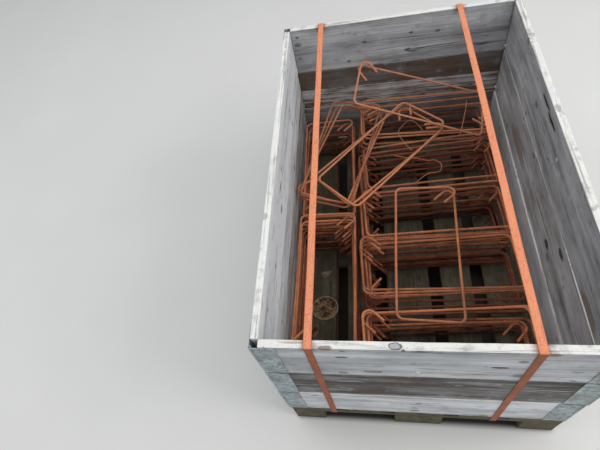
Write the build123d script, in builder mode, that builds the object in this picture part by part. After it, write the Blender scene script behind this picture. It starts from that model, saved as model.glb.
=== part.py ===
"""Bundled rebar stirrups, stacked in a pallet crate and strapped down.

Bent reinforcing-bar stirrups lie in seven stacks, with a few loose ones on top,
inside three wooden pallet collars on a flat pallet.  Two steel straps go round
the collars and the pallet.  Millimetres, +Z up, +Y towards the back of the crate,
origin on the floor under the middle of the pallet.
"""

from build123d import *
import os
from math import cos, degrees, pi, radians, sin, sqrt

import numpy as np

os.makedirs("parts", exist_ok=True)

# Pallet
pallet_length = 1200.0
pallet_width = 800.0
deck_thick = 22.0
cross_thick = 22.0
block_height = 78.0
runner_thick = 22.0
deck_outer_width = 145.0
deck_inner_width = 100.0
deck_middle_width = 145.0
cross_width = 145.0
block_length = 145.0
block_outer_width = 100.0
block_middle_width = 145.0

# Pallet collars, from the lowest up: how many boards each wall is made of
collar_height = 195.0
collar_wall = 20.0
boards_per_wall = (1, 2, 1)
board_gap = 0.6

# How far each collar sits to the right of the pallet's middle
collar_shift = (-3.0, 1.0, 3.0)

# Corner hinges of the collars
hinge_thick = 1.5
hinge_reach = 58.0
hinge_margin = 4.0
knuckle_diameter = 9.0
knuckle_proud = 1.5
knuckle_sides = 8
pin_diameter = 5.0
pin_sides = 6
pin_clearance = 0.3
hinge_gap = 0.2

# Steel straps
strap_width = 19.0
strap_thick = 1.0
strap_gap = 0.3
strap_bend = 3 * strap_gap
left_strap_off_blocks = 28.5
right_strap_off_blocks = 77.5

# Stirrup, outside sizes: a bar with six flats has the same section as the round one
bar_diameter = 8.0
bar_flats = 6
stirrup_width = 195.0
stirrup_length = 475.0
bend_radius = 20.0
tail_length = 40.0
hook_turn = 135.0
mitre_turn = 45.0
end_step = 24.0
seat_gap = 0.6
route_step = 2.5

# Stacks: how the free room is shared out before, between and after them
across_shares = (5.0, 34.0, 51.0)
right_shares = (22.0, 56.0, 18.0, 8.0, 8.0, 36.0)
left_shares = (96.0, 12.0, 102.0)
right_count = 10
left_count = 10

# How far the right-hand stacks are turned, in degrees, and how much of the free room that may take
right_turns = (2.0, 2.5, 3.0, 3.5, -1.0)
turn_share = 0.5

# How far a stirrup may stray from its stack's middle, as a share of the free room and at most
stray_share = 0.44
stray_most = 13.0
twist_share = 0.3
twist_most = 1.2
stray_turn = 0.9

# Levels and inner faces
runner_top = runner_thick
block_top = runner_top + block_height
cross_top = block_top + cross_thick
deck_top = cross_top + deck_thick
rim = deck_top + len(boards_per_wall) * collar_height
inside_x = pallet_width / 2 - collar_wall
inside_y = pallet_length / 2 - collar_wall

# The six-sided bar: its corner radius gives the round bar's area
round_area = pi * bar_diameter**2 / 4
bar_corner = sqrt(2 * round_area / (bar_flats * sin(2 * pi / bar_flats)))
bar_flat = bar_corner * cos(pi / bar_flats)
half_width = (stirrup_width - bar_diameter) / 2
half_length = (stirrup_length - bar_diameter) / 2


def save(piece, name):
    """Label a finished piece and write its file."""
    piece.part.label = name
    export_step(piece.part, f"parts/{name}.step")


def bend_points(centre, first, last):
    """Corners of a bend round centre from angle first to last, in degrees.

    The bend is made of mitres of about mitre_turn each, and its short sides touch the true arc.
    """
    mitres = max(1, round(abs(last - first) / mitre_turn))
    reach = bend_radius / cos(radians((last - first) / mitres / 2))
    angles = [radians(first + (last - first) * (i + 0.5) / mitres) for i in range(mitres)]
    return [(centre[0] + reach * cos(a), centre[1] + reach * sin(a)) for a in angles]


def tail_end(centre, angle, reach):
    """End of a straight tail that leaves the bend round centre at an angle, in degrees."""
    a = radians(angle)
    return (centre[0] + bend_radius * cos(a) + reach * sin(a), centre[1] + bend_radius * sin(a) - reach * cos(a))


def bar_route():
    """Centre line of one stirrup: hook, right, near, left and far side, hook.

    Both ends are bent by hook_turn round the same corner, and the bar climbs by
    end_step on its way round, so that they pass one above the other.
    """
    x, y = half_width - bend_radius, half_length - bend_radius
    flat = [tail_end((x, y), hook_turn, -tail_length)]
    flat += bend_points((x, y), hook_turn, 0)
    flat += bend_points((x, -y), 0, -90)
    flat += bend_points((-x, -y), -90, -180)
    flat += bend_points((-x, y), 180, 90)
    flat += bend_points((x, y), 90, 90 - hook_turn)
    flat.append(tail_end((x, y), 90 - hook_turn, tail_length))
    run = [0.0]
    for here, there in zip(flat, flat[1:]):
        run.append(run[-1] + sqrt((there[0] - here[0]) ** 2 + (there[1] - here[1]) ** 2))
    return [(p[0], p[1], end_step * r / run[-1]) for p, r in zip(flat, run)]


def close_points(route):
    """The route as an array of points about route_step apart."""
    corners = np.array(route)
    spans = np.linalg.norm(np.diff(corners, axis=0), axis=1)
    run = np.concatenate([[0.0], np.cumsum(spans)])
    at = np.linspace(0.0, run[-1], int(run[-1] / route_step) + 2)
    return np.stack([np.interp(at, run, corners[:, k]) for k in range(3)], axis=1)


def placed(points, place):
    """Points of a route carried to a location."""
    columns = [place * Location((1, 0, 0)), place * Location((0, 1, 0)), place * Location((0, 0, 1))]
    start = np.array(tuple(place.position))
    turn = np.stack([np.array(tuple(c.position)) - start for c in columns], axis=1)
    return points @ turn.T + start


def lift_to_rest(points, below):
    """Height to add to a bar's points so that it rests on the bars below or the deck."""
    lift = deck_top + bar_flat + seat_gap - points[:, 2].min()
    near = 2 * bar_corner
    for other in below:
        apart = np.hypot(points[:, None, 0] - other[None, :, 0], points[:, None, 1] - other[None, :, 1])
        share = np.clip((near - apart) / bar_corner, 0.0, 1.0)
        needed = other[None, :, 2] + 2 * bar_flat * share + seat_gap - points[:, None, 2]
        lift = max(lift, needed[apart < near].max(initial=lift))
    return lift


def turned(hook_corner):
    """Turn of a stirrup that brings its hooks to one of the four corners."""
    over = Location((0, 0, 0), (0, 180, 0))
    half_turn = Location((0, 0, 0), (0, 0, 180))
    return {"far right": Location(), "near left": half_turn, "far left": over,
            "near right": half_turn * over}[hook_corner]


def rest(x, y, yaw, hook_corner, below, tilt=(0.0, 0.0)):
    """Location of one stirrup laid at x, y on what is below; its points join the list."""
    lay = Location((x, y, 0), (tilt[0], tilt[1], 0)) * Location((0, 0, 0), (0, 0, yaw))
    lay = lay * turned(hook_corner)
    points = placed(bar_points, lay)
    lift = lift_to_rest(points, below)
    below.append(points + np.array([0.0, 0.0, lift]))
    return Location((0, 0, lift)) * lay


def spread(inside, sizes, shares, kept):
    """Middles of things set in a row inside the collars, and the free room before and after each.

    Kept is the room before, between and after them that is not free.
    """
    room = (inside - sum(sizes) - sum(kept)) / sum(shares)
    spaces = [room * share for share in shares]
    middles = []
    edge = -inside / 2
    for size, space, taken in zip(sizes, spaces, kept):
        middles.append(edge + space + taken + size / 2)
        edge += space + taken + size
    return middles, list(zip(spaces, spaces[1:]))


def room_for(turns):
    """Room that turned stacks in a row take at the walls and beside any that aren't parallel to them."""
    with_walls = [0.0, *turns, 0.0]
    return [stirrup_length / 2 * sin(radians(abs(b - a))) for a, b in zip(with_walls, with_walls[1:])]


def stack(x, y, yaw, count, hooks, phase, beside, beyond):
    """Locations of a stack's stirrups, from the deck up, each a little off the last.

    Beside is the free room to the left and right of the long sides, beyond the room at the near
    and far ends.  Each stirrup turns and strays inside its share of that room.
    """
    left, right = [min(stray_most, stray_share * room) for room in beside]
    near, far = [min(stray_most, stray_share * room) for room in beyond]
    turn_most = twist_share * min((left + right) / half_length, (near + far) / half_width)
    turn_most = min(radians(twist_most), turn_most)
    below = []
    places = []
    for layer in range(count):
        swing = stray_turn * layer + phase
        turn = turn_most * sin(1.7 * swing)
        half_across = (left + right) / 2 - half_length * abs(sin(turn))
        half_along = (near + far) / 2 - half_width * abs(sin(turn))
        across = (right - left) / 2 + half_across * sin(swing)
        along = (far - near) / 2 + half_along * cos(1.3 * swing)
        shift = Location((x, y, 0), (0, 0, yaw)) * Location((across, along, 0))
        places.append(rest(shift.position.X, shift.position.Y, yaw + degrees(turn),
                           hooks[layer % len(hooks)], below))
    return places, below


def off_left(clearance, yaw):
    """Where the middle of a turned stirrup lies when it clears the left collars."""
    reach = stirrup_width * cos(radians(yaw)) + stirrup_length * abs(sin(radians(yaw)))
    return -inside_x + clearance + reach / 2


# Pallet, from the floor up
with BuildPart() as pallet_runners:
    runner_side = (pallet_width - block_outer_width) / 2
    with BuildSketch(Plane.XY):
        with Locations((-runner_side, 0), (runner_side, 0)):
            Rectangle(block_outer_width, pallet_length)
        Rectangle(block_middle_width, pallet_length)
    extrude(amount=runner_thick)
save(pallet_runners, "pallet_runners")

with BuildPart() as pallet_blocks:
    row_end = (pallet_length - block_length) / 2
    with BuildSketch(Plane.XY.offset(runner_top)):
        with GridLocations(2 * runner_side, row_end, 2, 3):
            Rectangle(block_outer_width, block_length)
        with GridLocations(0, row_end, 1, 3):
            Rectangle(block_middle_width, block_length)
    extrude(amount=block_height)
save(pallet_blocks, "pallet_blocks")

with BuildPart() as pallet_cross_boards:
    with BuildSketch(Plane.XY.offset(block_top)):
        with GridLocations(0, row_end, 1, 3):
            Rectangle(pallet_width, cross_width)
    extrude(amount=cross_thick)
save(pallet_cross_boards, "pallet_cross_boards")

with BuildPart() as pallet_deck_boards:
    deck_outer_x = (pallet_width - deck_outer_width) / 2
    deck_inner_x = (deck_outer_x - deck_outer_width / 2 + deck_middle_width / 2) / 2
    with BuildSketch(Plane.XY.offset(cross_top)):
        with GridLocations(2 * deck_outer_x, 0, 2, 1):
            Rectangle(deck_outer_width, pallet_length)
        with GridLocations(2 * deck_inner_x, 0, 2, 1):
            Rectangle(deck_inner_width, pallet_length)
        Rectangle(deck_middle_width, pallet_length)
    extrude(amount=deck_thick)
save(pallet_deck_boards, "pallet_deck_boards")

# Pallet collars: end boards lie between the side boards' faces, corners stay open
for tier, (boards, shift) in enumerate(zip(boards_per_wall, collar_shift)):
    foot = deck_top + tier * collar_height
    board_height = (collar_height - board_gap * boards) / boards
    tier_name = ("lower", "middle", "upper")[tier]
    walls = {
        "front": (0, -inside_y - collar_wall / 2, 2 * inside_x, collar_wall),
        "back": (0, inside_y + collar_wall / 2, 2 * inside_x, collar_wall),
        "left": (-inside_x - collar_wall / 2, 0, collar_wall, 2 * inside_y),
        "right": (inside_x + collar_wall / 2, 0, collar_wall, 2 * inside_y),
    }
    for side, (wall_x, wall_y, wall_dx, wall_dy) in walls.items():
        with BuildPart() as collar_wall_boards:
            for board in range(boards):
                with BuildSketch(Plane((shift, 0, foot + board * (board_height + board_gap)))):
                    with Locations((wall_x, wall_y)):
                        Rectangle(wall_dx, wall_dy)
                extrude(amount=board_height)
        save(collar_wall_boards, f"{tier_name}_collar_{side}_boards")

# Corner hinges: a leaf on each wall, its knuckle in the open corner, and a pin
knuckle_radius = knuckle_diameter / 2
face_x = pallet_width / 2 + hinge_gap
face_y = pallet_length / 2 + hinge_gap
corner_x = face_x + hinge_thick + knuckle_proud - knuckle_radius
corner_y = face_y + hinge_thick + knuckle_proud - knuckle_radius
leaf_height = collar_height - 2 * hinge_margin
half_leaf = (leaf_height - hinge_gap) / 2
short_reach = hinge_reach - knuckle_radius - hinge_gap


def end_plate(reach):
    """Section of one leaf on a front board, its outer edge at the board's hinge side."""
    with Locations((corner_x - hinge_reach + reach / 2, -face_y - hinge_thick / 2)):
        Rectangle(reach, hinge_thick)


def side_plate(reach):
    """Section of one leaf on a side board, its outer edge at the board's hinge side."""
    with Locations((face_x + hinge_thick / 2, -corner_y + hinge_reach - reach / 2)):
        Rectangle(hinge_thick, reach)


def hinge_leaves(plate, shift, knuckle_foot, plain_foot):
    """Four leaves, one to a corner: half of each carries the knuckle, half is cut back for the other's."""
    with BuildPart() as leaves:
        with BuildSketch(Plane((shift, 0, knuckle_foot))):
            plate(hinge_reach)
            with Locations((corner_x, -corner_y)):
                RegularPolygon(knuckle_radius, knuckle_sides)
                RegularPolygon(pin_diameter / 2 + pin_clearance, pin_sides, mode=Mode.SUBTRACT)
            mirror(about=Plane.XZ)
            mirror(about=Plane.YZ)
        extrude(amount=half_leaf)
        with BuildSketch(Plane((shift, 0, plain_foot))):
            plate(short_reach)
            mirror(about=Plane.XZ)
            mirror(about=Plane.YZ)
        extrude(amount=leaf_height - half_leaf)
    return leaves


for tier, (tier_name, shift) in enumerate(zip(("lower", "middle", "upper"), collar_shift)):
    foot = deck_top + tier * collar_height + hinge_margin
    split = foot + half_leaf
    save(hinge_leaves(end_plate, shift, foot, split), f"{tier_name}_collar_end_hinge_leaves")
    save(hinge_leaves(side_plate, shift, foot + leaf_height - half_leaf, foot),
         f"{tier_name}_collar_side_hinge_leaves")
    with BuildPart() as hinge_pins:
        with BuildSketch(Plane((shift, 0, foot))):
            with GridLocations(2 * corner_x, 2 * corner_y, 2, 2):
                RegularPolygon(pin_diameter / 2, pin_sides)
        extrude(amount=leaf_height)
    save(hinge_pins, f"{tier_name}_collar_hinge_pins")

# Straps: round the collars and under the pallet's cross boards
block_inner_face = pallet_width / 2 - block_outer_width
left_strap_x = -block_inner_face + left_strap_off_blocks + strap_width / 2
right_strap_x = block_inner_face - right_strap_off_blocks - strap_width / 2
for strap_name, strap_x in (("left_strap", left_strap_x), ("right_strap", right_strap_x)):
    with BuildPart() as strap:
        loop_length = pallet_length + 2 * strap_gap
        loop_height = rim - block_top + 2 * strap_gap
        with BuildSketch(Plane.YZ.offset(strap_x - strap_width / 2)):
            with Locations((0, (rim + block_top) / 2)):
                RectangleRounded(loop_length + 2 * strap_thick, loop_height + 2 * strap_thick,
                                 strap_bend + strap_thick)
                RectangleRounded(loop_length, loop_height, strap_bend, mode=Mode.SUBTRACT)
        extrude(amount=strap_width)
    save(strap, strap_name)

# One stirrup, swept with mitred bends
bar_line = bar_route()
bar_points = close_points(bar_line)
with BuildPart() as stirrup:
    with BuildLine():
        Polyline(*bar_line)
    along = (Vector(*bar_line[1]) - Vector(*bar_line[0])).normalized()
    with BuildSketch(Plane(origin=bar_line[0], x_dir=along.cross(Vector(0, 0, 1)), z_dir=along)):
        RegularPolygon(radius=bar_corner, side_count=bar_flats)
    sweep(transition=Transition.RIGHT)

# Where the stacks' middles lie, and the free room before and after each
column_x, across_room = spread(2 * inside_x, (stirrup_width, stirrup_length), across_shares, (0.0, 0.0, 0.0))
left_stack_y, left_room = spread(2 * inside_y, [stirrup_length] * 2, left_shares, (0.0, 0.0, 0.0))
turned_most = half_width * sin(radians(max(abs(turn) for turn in right_turns)))
free_along = 2 * inside_y - len(right_turns) * stirrup_width
turn_scale = turn_share * min(min(across_room[1]) / turned_most, free_along / sum(room_for(right_turns)))
turns = [turn * min(1.0, turn_scale) for turn in right_turns]
right_stack_y, right_room = spread(2 * inside_y, [stirrup_width] * 5, right_shares, room_for(turns))
beyond_right = [room - turned_most * min(1.0, turn_scale) for room in across_room[1][::-1]]

# Right-hand column: five stacks across the crate, from the front to the back
right_hooks = [
    ["far right", "far right", "near left", "far right", "far right", "near right"],
    ["far right", "far right", "far right", "near left", "far right", "far left", "far left"],
    ["far right", "near right", "far right", "far right", "far left", "far left"],
    ["near left", "far right", "far right", "near right", "near right"],
    ["far right", "near left", "near left", "far right"],
]
lying = []
for number, (y, turn, room, hooks) in enumerate(zip(right_stack_y, turns, right_room, right_hooks), 1):
    places, bars = stack(column_x[1], y, 90 + turn, right_count, hooks, number, room, beyond_right)
    lying += bars
    with BuildPart() as right_stack:
        with Locations(*places):
            add(stirrup.part)
    save(right_stack, f"right_stack_{number}")

# Left-hand column: two stacks along the crate
left_hooks = [
    ["near left", "far right", "far right", "far right"],
    ["near left", "far right", "near left", "far left"],
]
for number, (y, room, hooks) in enumerate(zip(left_stack_y, left_room, left_hooks), 1):
    places, bars = stack(column_x[0], y, 0, left_count, hooks, number + 5, across_room[0], room)
    lying += bars
    with BuildPart() as left_stack:
        with Locations(*places):
            add(stirrup.part)
    save(left_stack, f"left_stack_{number}")

# Loose stirrups on top, each at rest on those below it
slanted_y = left_stack_y[1]
crossing_x, crossing_y = column_x[1] - 170, right_stack_y[3]
loose = {
    "slanted_stirrups": [(off_left(2.5, -17), slanted_y + 21, -17, "far right"),
                         (off_left(2.5, -20), slanted_y + 17, -20, "near left"),
                         (off_left(16, -14), slanted_y + 10, -14, "far right")],
    "crossing_stirrups": [(crossing_x, crossing_y - 4, -46, "far left"),
                          (crossing_x + 8, crossing_y - 11, -43, "far right")],
    "loose_stirrup": [(column_x[1] - 41, right_stack_y[1] + 28, -3, "far right")],
    "leaning_stirrup": [(column_x[1] - 21, right_stack_y[4] - 45, 79, "far right", (13, 18))],
}
for name, lays in loose.items():
    places = [rest(x, y, yaw, hook_corner, lying, *tilt) for x, y, yaw, hook_corner, *tilt in lays]
    with BuildPart() as loose_bars:
        with Locations(*places):
            add(stirrup.part)
    save(loose_bars, name)
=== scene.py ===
"""Bundled rebar stirrups in a strapped pallet crate: the dressed model.

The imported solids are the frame.  Boards, bars and straps are built again round them
with worn edges, ribs and rust; the hinges keep their own solids.  Shapes are worked
out in millimetres and put into their meshes in metres.
"""

import logging
import math
from dataclasses import dataclass, field
from enum import Enum
from functools import reduce
from itertools import product

import bpy
import numpy as np
from mathutils import Matrix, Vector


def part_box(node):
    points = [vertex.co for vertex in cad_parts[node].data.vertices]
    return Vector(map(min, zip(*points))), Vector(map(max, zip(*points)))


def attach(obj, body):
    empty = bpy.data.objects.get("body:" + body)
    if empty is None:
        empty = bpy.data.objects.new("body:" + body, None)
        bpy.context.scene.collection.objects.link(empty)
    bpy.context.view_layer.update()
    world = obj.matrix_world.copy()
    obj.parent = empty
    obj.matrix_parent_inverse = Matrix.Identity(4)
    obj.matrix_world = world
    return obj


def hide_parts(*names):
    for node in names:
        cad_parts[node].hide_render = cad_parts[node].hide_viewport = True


log = logging.getLogger("stirrup_crate")

MM = 0.001
Pair = tuple[float, float]
Triple = tuple[float, float, float]
Colour = tuple[float, float, float, float]
Groups = dict[str, bpy.types.NodeTree]

# Levels and sizes that several classes share, as in the part's source
PALLET_LENGTH = 1200.0
PALLET_WIDTH = 800.0
BLOCK_TOP = 100.0
CROSS_TOP = 122.0
DECK_TOP = 144.0
COLLAR_HEIGHT = 195.0
COLLAR_WALL = 20.0
RIM = DECK_TOP + 3 * COLLAR_HEIGHT
INSIDE_X = PALLET_WIDTH / 2 - COLLAR_WALL
INSIDE_Y = PALLET_LENGTH / 2 - COLLAR_WALL
STRAP_X = (-262.0, 213.0)
COLLAR_SHIFT = (-3.0, 1.0, 3.0)

# A bar's crescent ribs: from one to the next, and their lean round the bar in radians
RIB_PITCH = 5.2
RIB_SLANT = 1.3


class Detail(Enum):
    """How finely a bar is modelled."""

    RIBBED = "ribbed"
    PLAIN = "plain"


class HookCorner(Enum):
    """Corner of a stirrup's own outline where its two hooks are."""

    FAR_RIGHT = "far right"
    NEAR_LEFT = "near left"
    FAR_LEFT = "far left"
    NEAR_RIGHT = "near right"


class MarkKind(Enum):
    """What a mark at a known place on a board is."""

    BROWN = "Brown patch"
    RUST = "Rust run"
    KNOT = "Knot"
    RING = "Knot ring"
    GOUGE = "Gouge"
    CHIP = "Pale chip"


def paint(red: int, green: int, blue: int) -> Colour:
    """A colour as a screen shows it, 0 to 255, as the linear values that shaders use.

    Args:
        red: Red part.
        green: Green part.
        blue: Blue part.

    Returns:
        Four linear numbers, the last one 1.
    """
    parts = [part / 255 for part in (red, green, blue)]
    linear = [p / 12.92 if p <= 0.04045 else ((p + 0.055) / 1.055) ** 2.4 for p in parts]
    return (*linear, 1.0)


# Meshes


@dataclass
class Shell:
    """Closed surface in millimetres: corners, faces and named values at each corner."""

    points: np.ndarray
    quads: np.ndarray
    tris: np.ndarray = field(default_factory=lambda: np.zeros((0, 3), int))
    values: dict[str, np.ndarray] = field(default_factory=dict)

    def with_value(self, name: str, value: float) -> "Shell":
        """The same shell with one value the same at all its corners."""
        self.values[name] = np.full(len(self.points), value)
        return self


def joined(shells: list[Shell]) -> Shell:
    """One shell out of several, their corners numbered on.

    Args:
        shells: Shells that all carry the same named values.

    Returns:
        The joined shell.
    """
    starts = np.cumsum([0] + [len(s.points) for s in shells[:-1]])
    return Shell(
        np.concatenate([s.points for s in shells]),
        np.concatenate([s.quads + n for s, n in zip(shells, starts)]),
        np.concatenate([s.tris + n for s, n in zip(shells, starts)]),
        {key: np.concatenate([s.values[key] for s in shells]) for key in shells[0].values},
    )


def on_circle(angle: np.ndarray) -> np.ndarray:
    """Points of a circle of radius 1 at the given angles."""
    return np.stack([np.cos(angle), np.sin(angle)], axis=-1)


def run_along(line: np.ndarray) -> np.ndarray:
    """Distance along a line to each of its points."""
    return np.concatenate([[0.0], np.cumsum(np.linalg.norm(np.diff(line, axis=0), axis=1))])


def grid_faces(number: np.ndarray) -> np.ndarray:
    """Four-cornered faces between the rows and columns of a grid of corner numbers."""
    return np.stack([number[:-1, :-1], number[1:, :-1], number[1:, 1:], number[:-1, 1:]],
                    axis=-1).reshape(-1, 4)


def ring_faces(rings: int, around: int) -> tuple[np.ndarray, np.ndarray]:
    """Faces of a tube of rings with closed ends.

    The corners are numbered ring by ring, and then come the middle of the first end and
    the middle of the last.

    Args:
        rings: Number of rings along the tube.
        around: Corners in each ring.

    Returns:
        Four-cornered faces between the rings, and three-cornered faces of the ends.
    """
    number = np.arange(rings * around).reshape(rings, around)
    number = np.pad(number, ((0, 0), (0, 1)), mode="wrap")
    middles = np.full((2, around), rings * around) + [[0], [1]]
    first = np.column_stack([middles[0], number[0, :-1], number[0, 1:]])
    last = np.column_stack([middles[1], number[-1, 1:], number[-1, :-1]])
    return grid_faces(number), np.concatenate([first, last])


def ripple(along: np.ndarray, rng: np.random.Generator, waves: tuple[float, ...]) -> np.ndarray:
    """Smooth uneven values from 0 to 1 along a length: a mean of sines of the given lengths.

    Args:
        along: Places along the length, mm.
        rng: Source of the sines' starts.
        waves: Lengths of the sines, mm.

    Returns:
        A value for each place.
    """
    total = sum(np.sin(2 * math.pi * along / wave + rng.uniform(0, 2 * math.pi)) for wave in waves)
    return 0.5 + 0.5 * total / len(waves)


def make_piece(name: str, shell: Shell, material: bpy.types.Material,
               nodes: tuple[str, ...] = (), sharp: float = 50.0) -> bpy.types.Object:
    """Put a shell into a mesh object that rides on the crate.

    Args:
        name: Name of the piece.
        shell: Its surface, in millimetres.
        material: Its finish.
        nodes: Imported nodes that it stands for.
        sharp: Edges that turn by more degrees than this stay sharp.

    Returns:
        The object.
    """
    mesh = bpy.data.meshes.new(name)
    corners = np.concatenate([shell.quads.ravel(), shell.tris.ravel()])
    quads, tris = len(shell.quads), len(shell.tris)
    starts = np.concatenate([np.arange(quads) * 4, 4 * quads + np.arange(tris) * 3])
    mesh.vertices.add(len(shell.points))
    mesh.vertices.foreach_set("co", (shell.points * MM).astype(np.float32).ravel())
    mesh.loops.add(len(corners))
    mesh.loops.foreach_set("vertex_index", corners.astype(np.int32))
    mesh.polygons.add(quads + tris)
    mesh.polygons.foreach_set("loop_start", starts.astype(np.int32))
    mesh.update(calc_edges=True)
    mesh.polygons.foreach_set("use_smooth", np.ones(quads + tris, bool))
    for key, value in shell.values.items():
        kind, slot_name = ("FLOAT_VECTOR", "vector") if value.ndim == 2 else ("FLOAT", "value")
        made = mesh.attributes.new(key, kind, "POINT")
        made.data.foreach_set(slot_name, value.astype(np.float32).ravel())
    mesh.set_sharp_from_angle(angle=math.radians(sharp))
    mesh.materials.append(material)
    piece = bpy.data.objects.new(name, mesh)
    bpy.context.scene.collection.objects.link(piece)
    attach(piece, "root")
    if nodes:
        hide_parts(*nodes)
    log.info("%s: %d faces", name, quads + tris)
    return piece


def tube(line: np.ndarray, radius: np.ndarray) -> Shell:
    """Round bar along a line: at each point a ring, its corners at the given radii.

    A corner at angle a lies at the line's point + r (cos a * side + sin a * lift), where
    side is level and square to the line, and lift is square to both.

    Args:
        line: Points of the centre line.
        radius: A radius for each point and each corner of its ring.

    Returns:
        The closed bar, with a flat end at each side.
    """
    count, around = radius.shape
    ahead = np.gradient(line, axis=0)
    ahead /= np.linalg.norm(ahead, axis=1, keepdims=True)
    side = np.cross(ahead, (0.0, 0.0, 1.0))
    side /= np.linalg.norm(side, axis=1, keepdims=True)
    lift = np.cross(side, ahead)
    angle = 2 * math.pi * np.arange(around) / around
    out = np.cos(angle)[None, :, None] * side[:, None] + np.sin(angle)[None, :, None] * lift[:, None]
    rings = line[:, None] + radius[:, :, None] * out
    points = np.concatenate([rings.reshape(-1, 3), line[:1], line[-1:]])
    return Shell(points, *ring_faces(count, around))


def smooth_line(stops: tuple[Triple, ...], steps: int) -> np.ndarray:
    """Curve through a few points: between two of them the cubic whose slope at each is
    half the way from the point before it to the point after it.

    Args:
        stops: Points to pass through.
        steps: Number of points in each stretch.

    Returns:
        Points of the curve.
    """
    knots = np.array(stops, float)
    slopes = np.gradient(knots, axis=0)
    t = np.linspace(0, 1, steps, endpoint=False)[None, :, None]
    start, end = knots[:-1, None], knots[1:, None]
    out, into = slopes[:-1, None], slopes[1:, None]
    curve = ((2 * t**3 - 3 * t**2 + 1) * start + (t**3 - 2 * t**2 + t) * out
             + (3 * t**2 - 2 * t**3) * end + (t**3 - t**2) * into)
    return np.concatenate([curve.reshape(-1, 3), knots[-1:]])


def studs(places: np.ndarray, facing: np.ndarray, radius: float, height: float) -> Shell:
    """Low domed nail heads: rings of radius r sin a and height h cos a over each place.

    Args:
        places: Middle of each head's foot.
        facing: Direction that each head faces.
        radius: Foot radius, mm.
        height: Height of the dome, mm.

    Returns:
        All heads, each closed by a flat foot.
    """
    lean = np.where(np.abs(facing[:, 2:]) > 0.5, [[1.0, 0.0, 0.0]], [[0.0, 0.0, 1.0]])
    side = np.cross(lean, facing)
    other = np.cross(facing, side)
    rise = np.radians([90.0, 55.0, 25.0])
    corners = 8
    angle = 2 * math.pi * np.arange(corners) / corners
    spread = np.cos(angle)[:, None] * side[:, None] + np.sin(angle)[:, None] * other[:, None]
    rings = (places[:, None, None] + radius * np.sin(rise)[None, :, None, None] * spread[:, None]
             + height * np.cos(rise)[None, :, None, None] * facing[:, None, None])
    ends = np.stack([places, places + height * facing], axis=1)
    points = np.concatenate([rings.reshape(len(places), -1, 3), ends], axis=1)
    quads, tris = ring_faces(len(rise), corners)
    shift = (np.arange(len(places)) * points.shape[1])[:, None, None]
    return Shell(points.reshape(-1, 3), (quads[None, :, ::-1] + shift).reshape(-1, 4),
                 (tris[None, :, ::-1] + shift).reshape(-1, 3))


def slab(top: np.ndarray, thick: float) -> Shell:
    """Thin closed sheet: a grid of points, the same grid lower down, and the rim between.

    Args:
        top: Grid of points, rows by columns by 3, its rows running to the left of its columns.
        thick: Thickness, mm.

    Returns:
        The closed sheet.
    """
    rows, columns = top.shape[:2]
    under = top - np.array([0.0, 0.0, thick])
    number = np.arange(rows * columns).reshape(rows, columns)
    faces = grid_faces(number)[:, [0, 3, 2, 1]]
    rim = np.concatenate([number[0, :-1], number[:-1, -1], number[-1, :0:-1], number[:0:-1, 0]])
    onward = np.roll(rim, -1)
    lower = rows * columns
    walls = np.stack([rim, rim + lower, onward + lower, onward], axis=1)
    points = np.concatenate([top.reshape(-1, 3), under.reshape(-1, 3)])
    return Shell(points, np.concatenate([faces, faces[:, ::-1] + lower, walls]))


# Shader nodes


@dataclass(frozen=True)
class Value:
    """An output in a node graph; a sum on it adds the node that works it out."""

    graph: "Graph"
    socket: bpy.types.NodeSocket

    def __add__(self, other: object) -> "Value":
        """This plus another."""
        return self.graph.math("ADD", self, other)

    def __sub__(self, other: object) -> "Value":
        """This less another."""
        return self.graph.math("SUBTRACT", self, other)

    def __mul__(self, other: object) -> "Value":
        """This times another."""
        return self.graph.math("MULTIPLY", self, other)

    def __abs__(self) -> "Value":
        """This without its sign."""
        return self.graph.math("ABSOLUTE", self)

    def most(self, other: object) -> "Value":
        """The larger of this and another."""
        return self.graph.math("MAXIMUM", self, other)

    def step(self, low: object, high: object) -> "Value":
        """Smooth step from 0 at low to 1 at high, whichever of them is larger."""
        made = self.graph.node("ShaderNodeMapRange", self, low, high, interpolation_type="SMOOTHSTEP")
        return Value(self.graph, made.outputs[0])


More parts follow.
